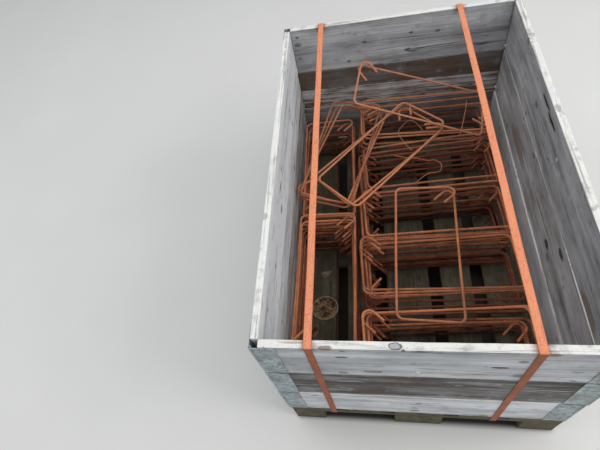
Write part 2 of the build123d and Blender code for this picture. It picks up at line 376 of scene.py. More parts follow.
class Graph:
    """Short hand for wiring nodes in one material or group."""

    def __init__(self, tree: bpy.types.NodeTree) -> None:
        """Work on the given tree."""
        self.tree = tree

    def feed(self, socket: bpy.types.NodeSocket, value: object) -> None:
        """Link a socket to a value of the graph, or set it.

        Args:
            socket: An input of a node.
            value: A value of the graph, or a plain one.
        """
        if isinstance(value, Value):
            self.tree.links.new(value.socket, socket)
        else:
            socket.default_value = value

    def node(self, kind: str, *values: object, **settings: object) -> bpy.types.Node:
        """Add a node.

        Args:
            kind: Its type.
            values: What its first inputs get.
            settings: Its own settings.

        Returns:
            The node.
        """
        made = self.tree.nodes.new(kind)
        for key, value in settings.items():
            setattr(made, key, value)
        for socket, value in zip(made.inputs, values):
            self.feed(socket, value)
        return made

    def outputs(self, node: bpy.types.Node) -> dict[str, Value]:
        """A node's outputs by name."""
        return {socket.name: Value(self, socket) for socket in node.outputs}

    def math(self, operation: str, *values: object) -> Value:
        """Result of a sum on numbers."""
        return Value(self, self.node("ShaderNodeMath", *values, operation=operation).outputs[0])

    def vector(self, operation: str, *values: object) -> Value:
        """Result of a sum on vectors."""
        made = self.node("ShaderNodeVectorMath", *values, operation=operation)
        return Value(self, made.outputs["Value" if operation == "LENGTH" else "Vector"])

    def apart(self, vector: object) -> list[Value]:
        """The three parts of a vector."""
        return [Value(self, socket) for socket in self.node("ShaderNodeSeparateXYZ", vector).outputs]

    def together(self, *parts: object) -> Value:
        """A vector of its first parts."""
        return Value(self, self.node("ShaderNodeCombineXYZ", *parts).outputs[0])

    def stretched(self, vector: object, per_metre: float | Triple) -> Value:
        """A vector in cells, so many to the metre each way or along each axis."""
        return self.vector("MULTIPLY", vector, np.broadcast_to(per_metre, 3).tolist())

    def noise(self, vector: object, per_metre: float | Triple,
              detail: float = 2.0, rough: float = 0.5) -> Value:
        """Cloudy values from 0 to 1.

        Args:
            vector: Where they are read.
            per_metre: Clouds to the metre, each way or along each axis.
            detail: Number of finer layers.
            rough: Strength of each layer beside the one before.

        Returns:
            The values.
        """
        made = self.node("ShaderNodeTexNoise", self.stretched(vector, per_metre))
        for key, value in (("Scale", 1.0), ("Detail", detail), ("Roughness", rough)):
            made.inputs[key].default_value = value
        return self.outputs(made)["Fac"]

    def cells(self, vector: object, per_metre: float | Triple,
              dimensions: str = "3D") -> dict[str, Value]:
        """Voronoi cells.

        Args:
            vector: Where they are read.
            per_metre: Cells to the metre, each way or along each axis.
            dimensions: The node's own word for flat or solid cells.

        Returns:
            The node's outputs by name.
        """
        made = self.node("ShaderNodeTexVoronoi", self.stretched(vector, per_metre),
                         voronoi_dimensions=dimensions)
        made.inputs["Scale"].default_value = 1.0
        return self.outputs(made)

    def mix(self, amount: object, first: object, second: object) -> Value:
        """Lay one colour over another.

        Args:
            amount: How much of the second shows.
            first: The lower colour.
            second: The upper colour.

        Returns:
            The mixed colour.
        """
        made = self.node("ShaderNodeMix", amount, data_type="RGBA")
        self.feed(made.inputs[6], first)
        self.feed(made.inputs[7], second)
        return Value(self, made.outputs[2])

    def layered(self, colour: Value, *layers: tuple[object, object]) -> Value:
        """A colour with others laid over it in turn.

        Args:
            colour: The lowest.
            layers: The colour and amount of each one above it.

        Returns:
            The colour on top.
        """
        for shade, amount in layers:
            colour = self.mix(amount, colour, shade)
        return colour

    def blend(self, amount: object, first: float, second: float) -> Value:
        """A number between two others.

        Args:
            amount: 0 for the first, 1 for the second.
            first: One number.
            second: The other.

        Returns:
            The number between them.
        """
        made = self.node("ShaderNodeMix", amount, data_type="FLOAT")
        self.feed(made.inputs[2], first)
        self.feed(made.inputs[3], second)
        return Value(self, made.outputs[0])

    def attribute(self, name: str, output: str = "Fac") -> Value:
        """A value stored on the mesh."""
        return self.outputs(self.node("ShaderNodeAttribute", attribute_name=name))[output]

    def place(self) -> Value:
        """Object coordinates, in metres."""
        return self.outputs(self.node("ShaderNodeTexCoord"))["Object"]

    def use(self, group: bpy.types.NodeTree, **inputs: object) -> dict[str, Value]:
        """Use a node group.

        Args:
            group: The group.
            inputs: What its inputs get, by name.

        Returns:
            Its outputs by name.
        """
        made = self.node("ShaderNodeGroup", node_tree=group)
        for key, value in inputs.items():
            self.feed(made.inputs[key], value)
        return self.outputs(made)

    def bump(self, height: Value, relief: float) -> Value:
        """Normals of an uneven surface.

        Args:
            height: Its height, from 0 to 1.
            relief: How many metres that stands for.

        Returns:
            The normals.
        """
        made = self.node("ShaderNodeBump")
        for key, value in (("Strength", 1.0), ("Distance", relief), ("Height", height)):
            self.feed(made.inputs[key], value)
        return self.outputs(made)["Normal"]

    def give(self, masks: dict[str, Value]) -> bpy.types.NodeTree:
        """End a group.

        Args:
            masks: The numbers that it puts out, by name.

        Returns:
            The group.
        """
        for key in masks:
            self.tree.interface.new_socket(key, in_out="OUTPUT", socket_type="NodeSocketFloat")
        self.node("NodeGroupOutput", *masks.values())
        return self.tree


def new_group(name: str, **inputs: float | None) -> tuple[Graph, dict[str, Value]]:
    """Start a node group.

    Args:
        name: Its name.
        inputs: Resting value of each number that it takes in, or None for a vector.

    Returns:
        The graph, and what it takes in by name.
    """
    tree = bpy.data.node_groups.new(name, "ShaderNodeTree")
    for key, value in inputs.items():
        kind = "NodeSocketVector" if value is None else "NodeSocketFloat"
        made = tree.interface.new_socket(key, in_out="INPUT", socket_type=kind)
        if value is not None:
            made.default_value = value
    graph = Graph(tree)
    return graph, graph.outputs(graph.node("NodeGroupInput"))


def grain_group() -> bpy.types.NodeTree:
    """Masks of weathered softwood, read from a board's own coordinates in metres.

    Growth rings are circles round a pith below the face, so the face shows long arches
    and the ends show arcs.  Grain lines part round knots as a stream parts round a post.

    Returns:
        The group.
    """
    graph, given = new_group("Weathered grain", Grain=None)
    grain = given["Grain"]
    along, across, through = graph.apart(grain)
    # The lines sway by up to 11 mm
    across = across + (graph.noise(grain, (2.2, 7.0, 7.0)) - 0.5) * 0.022

    # About a third of the cells hold a knot, each of its own size
    cell = (0.19, 0.066)
    knots = graph.cells(graph.together(along, across), (1 / cell[0], 1 / cell[1], 1.0), "2D")
    middle = graph.vector("MULTIPLY", knots["Position"], (*cell, 0.0))
    from_along, from_across, _ = graph.apart(
        graph.vector("SUBTRACT", graph.together(along, across), middle))
    chance, size, _ = graph.apart(knots["Color"])
    there = graph.math("LESS_THAN", chance, 0.34)
    size = size * 0.0075 + 0.0030
    reach = graph.vector("LENGTH", graph.together(from_along * 0.72, from_across))
    reach = reach + (graph.noise(grain, (120.0, 120.0, 40.0)) - 0.5) * 0.0022
    knot = there * reach.step(size, size * 0.75)
    rim = there * abs(reach - size).step(0.0022, 0.0004)

    # The lines are pushed aside near a knot
    ratio = graph.math("DIVIDE", size, reach.most(size))
    push = ratio * ratio * there * reach.step(0.034, 0.012)
    flowing = across - from_across * push
    lines = graph.together(along, flowing, through)

    # Rings round the pith, 4.6 mm apart
    depth = through + graph.noise(grain, (0.9, 0.0, 0.0), 1.0) * 0.05
    radius = graph.vector("LENGTH", graph.together(flowing, depth))
    wave = graph.math("SINE", radius * (2 * math.pi / 0.0046) + graph.noise(lines, (3.0, 60.0, 60.0)) * 5.0)
    ring = graph.math("POWER", wave * 0.5 + 0.5, 1.8)

    streak = graph.noise(lines, (3.2, 230.0, 120.0), 4.0, 0.66)
    fibre = graph.noise(lines, (14.0, 950.0, 700.0))
    split = abs(graph.noise(lines, (1.5, 42.0, 5.0), 1.0) - 0.5)
    check = split.step(0.012, 0.002) * graph.noise(grain, (1.3, 8.0, 8.0)).step(0.53, 0.60)
    raised = ring * 0.30 + (streak + fibre) * 0.30 + knot * 0.35
    return graph.give({
        "Band": graph.noise(lines, (1.1, 34.0, 22.0), 3.0, 0.62), "Streak": streak, "Ring": ring,
        "Knot": knot, "Knot rim": rim, "Check": check, "Height": raised - (check * 0.9 + rim * 0.35)})


def rust_group() -> bpy.types.NodeTree:
    """Masks of rusted steel: broad mottling, fine speckle, dark scale and a height.

    Returns:
        The group.
    """
    graph, given = new_group("Rust skin", Place=None)
    place = given["Place"]
    speckle = graph.noise(place, 620.0, 2.0, 0.6)
    flake = graph.noise(place, 150.0, 3.0, 0.6)
    return graph.give({"Mottle": graph.noise(place, 24.0, 4.0, 0.62), "Speckle": speckle,
                       "Scale": flake.step(0.56, 0.66), "Height": speckle * 0.5 + flake * 0.5})


def damp_group() -> bpy.types.NodeTree:
    """Mask of damp, algae and splashed dirt: strong near the floor, fading upwards.

    Returns:
        The group.
    """
    graph, given = new_group("Damp and dirt", Place=None, Level=0.2, Amount=1.0)
    place = given["Place"]
    _, _, height = graph.apart(place)
    fade = 0.16
    edge = graph.noise(place, (9.0, 9.0, 14.0), 4.0, 0.6) * fade + given["Level"]
    low = height.step(edge, edge - fade) * given["Amount"]
    blotch = graph.noise(place, (40.0, 40.0, 60.0), 4.0, 0.6).step(0.34, 0.66)
    return graph.give({"Mask": low * blotch, "Splash": graph.noise(place, 260.0).step(0.62, 0.72)})


def strap_stain_group() -> bpy.types.NodeTree:
    """Mask of rust washed off the straps into the wood beside and under them.

    Returns:
        The group.
    """
    graph, given = new_group("Strap stain", Place=None)
    place = given["Place"]
    x, _, height = graph.apart(place)
    uneven = (graph.noise(place, (45.0, 45.0, 9.0), 3.0, 0.6) - 0.5) * 0.03
    left, right = (abs(x - at * MM + uneven).step(0.026, 0.009) for at in STRAP_X)
    top = height.step((RIM - 26) * MM, (RIM - 4) * MM)
    return graph.give({"Mask": left.most(right) * (top * 0.72 + 0.08)})


MARK_COLOURS = {
    MarkKind.BROWN: paint(116, 92, 70), MarkKind.RUST: paint(176, 104, 62),
    MarkKind.KNOT: paint(74, 69, 67), MarkKind.RING: paint(26, 23, 22),
    MarkKind.GOUGE: paint(24, 22, 22), MarkKind.CHIP: paint(238, 236, 228)}

# Middle x, y, z and half sizes x, y, z of each mark in mm, and its strength
MARKS: dict[MarkKind, tuple[tuple[float, ...], ...]] = {
    MarkKind.BROWN: (
        (-223, -598, 725, 17, 6, 9, 0.75), (236, -600, 720, 12, 8, 9, 0.7),
        (381, 218, 417, 8, 95, 30, 0.6), (383, -439, 549, 8, 62, 20, 0.6)),
    MarkKind.RUST: (
        (-300, -587, 729, 30, 3, 6, 0.5), (-362, -600, 700, 5, 6, 34, 0.8)),
    MarkKind.KNOT: (
        (-191, -600, 672, 17, 5, 7, 0.75), (-125, -600, 567, 22, 5, 9, 0.5),
        (148, -600, 627, 20, 5, 7, 0.9), (303, -600, 611, 12, 5, 4, 0.6),
        (-73, -591, 729, 13, 9, 6, 0.45), (392, 70, 729, 8, 15, 5, 0.4),
        (-392, -240, 729, 8, 13, 5, 0.4), (381, -174, 420, 7, 17, 11, 0.95),
        (381, -252, 498, 7, 22, 11, 0.95), (-377, -134, 608, 8, 15, 9, 0.7),
        (-354, 580, 696, 8, 6, 5, 0.7), (-111, 580, 641, 9, 6, 5, 0.8),
        (54, 580, 656, 8, 6, 5, 0.8), (43, 580, 585, 12, 6, 7, 0.75),
        (146, 580, 650, 9, 6, 6, 0.7), (-357, 580, 602, 8, 6, 5, 0.6)),
    MarkKind.RING: (
        (-125, -600, 567, 22, 5, 9, 0.5), (-73, -591, 729, 12, 8, 6, 0.7),
        (381, -174, 420, 7, 17, 11, 0.6), (-377, -134, 608, 8, 15, 9, 0.5)),
    MarkKind.GOUGE: (
        (-110, -600, 614, 16, 5, 2.2, 0.6), (24, -600, 251, 14, 5, 2.5, 0.6),
        (-56, -600, 724, 5, 5, 5, 0.7), (383, 125, 697, 7, 40, 5, 0.95),
        (383, 58, 688, 7, 42, 6, 0.95), (381, 85, 515, 7, 15, 7, 0.7)),
    MarkKind.CHIP: (
        (-20, -600, 573, 5, 5, 7, 0.9), (-195, -600, 473, 48, 5, 2.2, 0.5),
        (300, -600, 456, 50, 5, 2.4, 0.6), (383, -42, 645, 7, 6, 6, 0.7),
        # The long pale line at z 534 on the right wall is partly a pale scratch and partly a painted
        # highlight along the ledge where the middle and upper collars meet
        (381, -400, 534, 7, 150, 2.6, 0.9)),
}


def marks_group() -> bpy.types.NodeTree:
    """Masks of the marks at known places: each is an ellipsoid whose edge a noise makes uneven.

    Returns:
        The group, with a mask for each kind.
    """
    graph, given = new_group("Placed marks", Place=None)
    place = given["Place"]
    rough = (graph.noise(place, (75.0, 75.0, 110.0), 3.0, 0.6) - 0.5) * 1.1
    masks = {}
    for kind, marks in MARKS.items():
        near = []
        for mark in marks:
            middle, half = ([value * MM for value in part] for part in (mark[:3], mark[3:6]))
            away = graph.vector("DIVIDE", graph.vector("SUBTRACT", place, middle), half)
            reach = graph.vector("LENGTH", away) + rough
            if kind is MarkKind.RING:
                reach = abs(reach - 0.95) * 8.0
            near.append(reach.step(1.2, 0.7) * mark[6])
        masks[kind.value] = reduce(Value.most, near)
    return graph.give(masks)


# Finishes


@dataclass(frozen=True)
class Coat:
    """What a finish gives its shader; relief is how many metres its height stands for."""

    colour: Value
    roughness: Value | float
    height: Value | None = None
    relief: float = 0.0


@dataclass(frozen=True)
class Finish:
    """What all finishes share; the class of each works out its coat."""

    name: str
    specular: float = 0.3
    metallic: float = 0.0

    def coat(self, graph: Graph, groups: Groups) -> Coat:
        """The finish's own coat."""
        raise NotImplementedError

    def material(self, groups: Groups) -> bpy.types.Material:
        """The finish as a material.

        Args:
            groups: Shared node groups by name.

        Returns:
            The material.
        """
        made = bpy.data.materials.new(self.name)
        made.use_nodes = True
        made.node_tree.nodes.clear()
        graph = Graph(made.node_tree)
        coat = self.coat(graph, groups)
        skin = graph.node("ShaderNodeBsdfPrincipled")
        given = {"Base Color": coat.colour, "Roughness": coat.roughness,
                 "Metallic": self.metallic, "Specular IOR Level": self.specular}
        if coat.height is not None:
            given["Normal"] = graph.bump(coat.height, coat.relief)
        for key, value in given.items():
            graph.feed(skin.inputs[key], value)
        graph.node("ShaderNodeOutputMaterial", graph.outputs(skin)["BSDF"])
        return made


@dataclass(frozen=True)
class WoodFinish(Finish):
    """Weathered boards: silver where the sun gets, slate and brown where it doesn't."""

    specular: float = 0.25
    silver: Colour = paint(226, 229, 232)
    slate: Colour = paint(76, 74, 75)
    brown: Colour = paint(112, 90, 68)
    bare: Colour = paint(242, 241, 234)
    knot: Colour = paint(84, 76, 72)
    stroke: Colour = paint(44, 41, 40)
    algae: Colour = paint(88, 90, 62)
    splash: Colour = paint(60, 52, 44)
    rust: Colour = paint(138, 78, 50)
    damp_level: float = 0.12
    damp_amount: float = 0.9
    algae_share: float = 1.0
    marked: bool = True

    def coat(self, graph: Graph, groups: Groups) -> Coat:
        """The coat, read from each board's grain, tone, warmth, bare edge and figure.

        Args:
            graph: The material's graph.
            groups: Shared node groups by name.

        Returns:
            The coat.
        """
        place = graph.place()
        own = graph.attribute("grain", "Vector")
        grain = graph.use(groups["grain"], Grain=own)
        streak = grain["Streak"]
        tone, warm, bare, figure = (graph.attribute(key) for key in ("tone", "warm", "bare", "figure"))
        cloud = graph.noise(own, (5.0, 16.0, 16.0), 4.0, 0.6)
        swing = ((grain["Band"] - 0.5) * -0.75 + (streak - 0.5) * -0.55
                 + (cloud - 0.5) * -0.85 + (grain["Ring"] - 0.5) * 0.06)
        dark = graph.math("MINIMUM", (swing * figure + tone).most(0.0), 1.0)
        worn = graph.noise(place, (16.0, 16.0, 50.0), 4.0, 0.6).step(0.26, 0.44)
        pale = graph.noise(place, (7.0, 7.0, 60.0), 3.0, 0.6).step(0.48, 0.8)
        stroke = graph.noise(own, (9.0, 150.0, 90.0), 3.0, 0.7).step(0.66, 0.76)
        patch = graph.noise(place, (22.0, 22.0, 34.0), 5.0, 0.68)
        crack = grain["Check"].most(grain["Knot rim"] * 0.6) * (bare * -0.8 + 1.0)
        damp = graph.use(groups["damp"], Place=place, Level=self.damp_level, Amount=self.damp_amount)
        colour = graph.layered(
            graph.mix(dark, self.silver, self.slate),
            (self.brown, warm * (streak + cloud).step(1.25, 0.75)),
            (graph.mix(pale, self.bare, self.silver), bare * worn * 0.92),
            (self.slate, bare * streak.step(0.50, 0.68) * 0.55),
            (self.stroke, stroke * 0.55),
            (self.slate, patch.step(0.54, 0.68) * 0.30),
            (self.silver, patch.step(0.44, 0.30) * 0.22),
            (self.knot, grain["Knot"] * 0.6),
            (self.stroke, crack * 0.75),
            (self.algae, damp["Mask"] * self.algae_share),
            (self.splash, damp["Splash"] * 0.22))
        if self.marked:
            marks = graph.use(groups["marks"], Place=place)
            stain = graph.use(groups["stain"], Place=place)
            placed = [(shade, marks[kind.value]) for kind, shade in MARK_COLOURS.items()]
            colour = graph.layered(colour, *placed, (self.rust, stain["Mask"] * 0.75))
        return Coat(colour, graph.blend(grain["Ring"], 0.92, 0.74), grain["Height"], 0.0012)


@dataclass(frozen=True)
class BarFinish(Finish):
    """Rusty ribbed bar: bright orange brown on top, dull brown deep in the stacks, a change with height
    that is painted shade.

    Between the heights low and high, in metres, the painted shade goes from dull to bright.
    """

    bright: Colour = paint(230, 148, 102)
    middle: Colour = paint(156, 90, 64)
    dark: Colour = paint(80, 46, 36)
    film: Colour = paint(152, 114, 98)
    scale: Colour = paint(56, 36, 32)
    low: float = 0.16
    high: float = 0.43

    def coat(self, graph: Graph, groups: Groups) -> Coat:
        """The coat, read from each bar's own run, shade and rib crest.

        Args:
            graph: The material's graph.
            groups: Shared node groups by name.

        Returns:
            The coat.
        """
        place = graph.place()
        rust = graph.use(groups["rust"], Place=place)
        shade = graph.attribute("shade")
        _, back, height = graph.apart(place)
        # Painted shade: this rises with height, so bars deep in the stacks are painted darker, with less
        # pale film and more dark scale
        painted_light = height.step(self.low, self.high)
        # Rib crests are painted lighter, partly as wear and partly as a painted highlight
        light = (rust["Mottle"] * 0.8 + rust["Speckle"] * 0.35 + (shade - 0.5) * 0.5
                 + (painted_light * 0.62 - 0.42) + graph.attribute("crest") * 0.42)
        film = graph.noise(place, 13.0, 3.0, 0.6).step(0.46, 0.60) * (shade * -0.45 + 0.5)
        colour = graph.layered(
            graph.mix(light.step(0.10, 0.50), self.dark, self.middle),
            (self.bright, light.step(0.52, 0.96)),
            (self.film, (back.step(-0.15, 0.5) * 0.38 + film) * painted_light),
            (self.scale, rust["Scale"] * (painted_light * -0.35 + 0.6)))
        run, side, _ = graph.apart(graph.attribute("bar", "Vector"))
        wave = graph.math("COSINE", run * (2 * math.pi / (RIB_PITCH * MM)) + side * RIB_SLANT)
        return Coat(colour, graph.blend(rust["Scale"], 0.92, 0.62),
                    rust["Height"] * 0.5 + wave.step(0.2, 0.9), 0.0006)


@dataclass(frozen=True)
class StrapFinish(Finish):
    """Steel strapping gone orange with rust, browner where it lies down the walls."""

    specular: float = 0.35
    bright: Colour = paint(250, 166, 126)
    dull: Colour = paint(206, 116, 80)
    brown: Colour = paint(138, 82, 60)
    wall: Colour = paint(160, 96, 68)
    spot: Colour = paint(120, 62, 44)

    def coat(self, graph: Graph, groups: Groups) -> Coat:
        """The coat, read from the strap's own run and width.

        Args:
            graph: The material's graph.
            groups: Shared node groups by name.

        Returns:
            The coat.
        """
        place = graph.place()
        rust = graph.use(groups["rust"], Place=place)
        run, across, _ = graph.apart(graph.attribute("band", "Vector"))
        _, _, height = graph.apart(place)
        flat = graph.together(run, across)
        streaks = graph.noise(flat, (9.0, 240.0, 1.0), 3.0, 0.6)
        specks = graph.noise(flat, (520.0, 520.0, 1.0), 2.0, 0.6)
        top = height.step((RIM - 3) * MM, (RIM - 0.5) * MM)
        colour = graph.layered(
            graph.mix(specks.step(0.42, 0.64), self.bright, self.dull),
            (self.brown, streaks.step(0.54, 0.72) * 0.35),
            (graph.mix(rust["Mottle"].step(0.35, 0.7), self.brown, self.wall), top * -0.92 + 0.92),
            (self.spot, abs(across).step(0.0068, 0.0092) * 0.35),
            (self.spot, rust["Scale"] * 0.3))
        return Coat(colour, graph.blend(rust["Scale"], 0.86, 0.6), rust["Height"], 0.0004)


@dataclass(frozen=True)
class ZincFinish(Finish):
    """Galvanised sheet: pale blue grey crystals, dulled, with dirt low down."""

    specular: float = 0.5
    metallic: float = 0.55
    pale: Colour = paint(178, 192, 196)
    deep: Colour = paint(120, 134, 140)
    dull: Colour = paint(150, 152, 150)
    rust: Colour = paint(126, 84, 58)
    dirt: Colour = paint(96, 94, 78)

    def coat(self, graph: Graph, groups: Groups) -> Coat:
        """The coat, read from Object coordinates.

        Args:
            graph: The material's graph.
            groups: Shared node groups by name.

        Returns:
            The coat.
        """
        place = graph.place()
        cell, _, _ = graph.apart(graph.cells(place, 95.0)["Color"])
        cloud = graph.noise(place, 18.0, 4.0, 0.6)
        rust = graph.use(groups["rust"], Place=place)
        damp = graph.use(groups["damp"], Place=place, Level=0.1, Amount=0.55)
        colour = graph.layered(
            graph.mix(cell, self.deep, self.pale),
            (self.dull, cloud.step(0.42, 0.66)),
            (self.rust, rust["Scale"] * cloud.step(0.56, 0.70) * 0.6),
            (self.dirt, damp["Mask"]))
        return Coat(colour, graph.blend(cloud.step(0.35, 0.7), 0.42, 0.72), cloud + cell, 0.0003)


@dataclass(frozen=True)
class LeafFinish(Finish):
    """Dry leaves and bark: brown, blotched, paler round the edge."""

    specular: float = 0.2
    light: Colour = paint(150, 112, 78)
    deep: Colour = paint(84, 56, 40)
    fleck: Colour = paint(54, 44, 36)
    rim: Colour = paint(198, 186, 156)

    def coat(self, graph: Graph, groups: Groups) -> Coat:
        """The coat, read from Object coordinates and the leaf's own rim.

        Args:
            graph: The material's graph.
            groups: Shared node groups by name.

        Returns:
            The coat.
        """
        place = graph.place()
        blotch = graph.noise(place, 55.0, 5.0, 0.65)
        flecks = graph.use(groups["rust"], Place=place)["Scale"]
        colour = graph.layered(
            graph.mix(blotch.step(0.42, 0.60), self.deep, self.light),
            (self.fleck, flecks * 0.5),
            (self.rim, graph.attribute("rim") * 0.8))
        return Coat(colour, 0.85, graph.noise(place, 420.0), 0.0006)


@dataclass(frozen=True)
class FloorFinish(Finish):
    """Pale floor with a painted shadow under the pallet and for a short way behind it.

    The painted shadow fades over so many millimetres at the pallet's outline, and between the two
    distances from the crate's middle, in metres, at the sides and at the back.
    """

    specular: float = 0.1
    light: Colour = paint(226, 225, 222)
    lighter: Colour = paint(234, 233, 230)
    # Colour of the painted shadow
    shade: Colour = paint(60, 57, 53)
    fade: float = 14.0
    side: Pair = (0.40, 0.27)
    back: Pair = (0.84, 0.66)

    def coat(self, graph: Graph, groups: Groups) -> Coat:
        """The coat, read from Object coordinates.

        Args:
            graph: The material's graph.
            groups: Shared node groups by name; it needs none.

        Returns:
            The coat.
        """
        place = graph.place()
        x, y, _ = graph.apart(place)
        # Painted shadow: dark under the pallet's outline and in a soft band behind the crate, laid over the
        # pale floor
        across, along = (abs(value).step((size / 2 + self.fade) * MM, (size / 2 - self.fade) * MM)
                         for value, size in ((x, PALLET_WIDTH), (y, PALLET_LENGTH)))
        behind = abs(x).step(*self.side) * (y.step(*self.back) * y.step(0.0, 0.1))
        pale = graph.mix(graph.noise(place, 2.0), self.light, self.lighter)
        return Coat(graph.mix((across * along).most(behind), pale, self.shade), 0.9)


# Boards


@dataclass(frozen=True)
class Weather:
    """How a board has weathered: its tone from silver, 0, to slate, 1, how brown it is,
    and how strongly its grain shows."""

    tone: float
    warm: float
    figure: float = 1.0


@dataclass
class Board:
    """One sawn board or block with worn, slightly uneven edges.

    Its section is a rectangle with round corners, carried along its length.  A corner of
    the section lies at M (half size - r) + N r, less the wear along N: up to notch on the
    edges and up to sag on the faces.
    """

    low: Triple
    high: Triple
    axes: tuple[int, int, int]
    seed: int
    look: Weather
    round_over: float = 2.2
    bare_top: float = 0.0
    bare_depth: float = 1.9
    step: float = 28.0
    notch: float = 1.1
    sag: float = 0.35
    notch_waves: tuple[float, ...] = (610.0, 233.0, 97.0, 41.0)
    sag_waves: tuple[float, ...] = (820.0, 310.0)

    def section(self) -> tuple[np.ndarray, np.ndarray]:
        """Work out the section: each quarter is a round corner, then places along a face.

        Returns:
            Corner multipliers M and directions N, in order around it.
        """
        arc = np.radians([0.0, 30.0, 60.0, 90.0])
        wide, narrow = np.array([-0.985, -0.6, 0.0, 0.6, 0.985]), np.array([-0.9, 0.0, 0.9])
        m, n = [], []
        for quarter, places in enumerate((wide, narrow, wide, narrow)):
            turn = quarter * math.pi / 2
            face = np.rint([-math.sin(turn), math.cos(turn)])
            way = np.rint([-math.cos(turn), -math.sin(turn)])
            m += [np.tile(face - way, (len(arc), 1)), face + way * places[:, None]]
            n += [on_circle(arc + turn), np.tile(face, (len(places), 1))]
        return np.concatenate(m), np.concatenate(n)

    def surface(self) -> Shell:
        """Carry the section along the board, drawn in where the ends are rounded.

        Returns:
            The closed shell, with its values grain, bare, tone, warm and figure.
        """
        rng = np.random.default_rng(self.seed)
        l_axis, w_axis, t_axis = self.axes
        low, high = np.array(self.low), np.array(self.high)
        size, middle = high - low, (high + low) / 2
        length, width, thick = size[l_axis], size[w_axis], size[t_axis]
        r = min(self.round_over, thick / 3)
        m, n = self.section()
        end = np.linspace(0, math.pi / 2, 4)[:-1]
        inner = np.linspace(r, length - r, max(int(length / self.step), 4) + 1)
        into, less = r * (1 - np.cos(end)), r * (1 - np.sin(end))
        along = np.concatenate([into, inner, (length - into)[::-1]])
        shrink = np.concatenate([less, np.zeros(len(inner)), less[::-1]])
        half = np.array([width, thick])[None] / 2 - shrink[:, None]
        rho = np.maximum(r - shrink, 0.2)
        at = m[None] * (half - rho[:, None])[:, None] + n[None] * rho[:, None, None]
        # An edge is its round corner and the places of the faces right beside it
        corner = (np.abs(m).min(axis=1) > 0.97).astype(float)
        quarter = (m[:, 0] < 0) * 2 + (m[:, 1] < 0)
        notch = np.stack([ripple(along, rng, self.notch_waves) ** 2 for _ in range(4)], axis=1)
        flat = ripple(along, rng, self.sag_waves)[:, None] * self.sag
        worn = corner[None] * notch[:, quarter] * self.notch + (1 - corner[None]) * flat
        at = at - n[None] * worn[:, :, None]
        points = np.empty((len(along), len(m), 3))
        points[..., l_axis] = (low[l_axis] + along)[:, None]
        points[..., w_axis] = middle[w_axis] + at[..., 0]
        points[..., t_axis] = middle[t_axis] + at[..., 1]
        centres = np.repeat(middle[None], 2, axis=0)
        centres[0, l_axis], centres[1, l_axis] = low[l_axis], high[l_axis]
        flat_points = np.concatenate([points.reshape(-1, 3), centres])
        quads, tris = ring_faces(len(along), len(m))
        if Matrix(np.eye(3)[list(self.axes)].tolist()).determinant() > 0:
            quads, tris = quads[:, ::-1], tris[:, ::-1]
        local = (flat_points - middle)[:, list(self.axes)] * MM
        pith = np.array([rng.uniform(0, 40), rng.uniform(-0.05, 0.05), rng.uniform(0.012, 0.05)])
        top = (flat_points[:, 2] > self.high[2] - self.bare_depth).astype(float) * self.bare_top
        shell = Shell(flat_points, quads, tris, {"grain": local + pith, "bare": top})
        for key in ("tone", "warm", "figure"):
            shell.with_value(key, getattr(self.look, key))
        return shell


# Axes of a board's length, width and thickness: on edge along X or Y, and flat along X or Y
EDGE_X = (0, 2, 1)
EDGE_Y = (1, 2, 0)
FLAT_X = (0, 1, 2)
FLAT_Y = (1, 0, 2)


@dataclass
class CollarTier:
    """The four walls of one pallet collar, each of one board or of two."""

    name: str
    boards: int
    seed: int
    looks: dict[str, tuple[Weather, ...]]
    bare_top: float
    gap: float = 0.6

    def build(self, material: bpy.types.Material) -> list[bpy.types.Object]:
        """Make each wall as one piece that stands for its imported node.

        Args:
            material: The boards' finish.

        Returns:
            The pieces.
        """
        made = []
        for number, (side, looks) in enumerate(self.looks.items()):
            node = f"{self.name}_collar_{side}_boards"
            low, high = (np.array(corner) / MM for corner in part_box(node))
            height = (high[2] - low[2] - self.gap * (self.boards - 1)) / self.boards
            shells = []
            for board in range(self.boards):
                foot = low[2] + board * (height + self.gap)
                shells.append(Board(
                    (low[0], low[1], foot), (high[0], high[1], foot + height),
                    EDGE_X if side in ("front", "back") else EDGE_Y,
                    self.seed + 10 * number + board, looks[board],
                    bare_top=self.bare_top if board == self.boards - 1 else 0.0).surface())
            made.append(make_piece(f"{self.name}_{side}_boards", joined(shells), material,
                                   (node,)))
        return made


# Each wall's boards from the lowest up
COLLAR_TIERS = (
    CollarTier("lower", 1, 100, {
        "front": (Weather(0.14, 0.1, 1.3),),
        "back": (Weather(0.6, 0.5),),
        "left": (Weather(0.5, 0.4),),
        "right": (Weather(0.05, 0.1, 0.5),)}, 0.9),
    CollarTier("middle", 2, 200, {
        "front": (Weather(0.86, 0.35, 1.2), Weather(0.92, 0.3, 1.2)),
        "back": (Weather(-0.15, 1.3, 0.9), Weather(0.9, 0.9, 0.7)),
        "left": (Weather(0.5, 0.5), Weather(0.2, 0.2)),
        "right": (Weather(0.44, 0.35), Weather(0.50, 0.35))}, 0.25),
    CollarTier("upper", 1, 300, {
        "front": (Weather(0.46, 0.0, 1.15),),
        "back": (Weather(0.47, 0.0, 1.1),),
        "left": (Weather(-0.14, 0.0, 2.2),),
        "right": (Weather(0.56, 0.05),)}, 1.0),
)


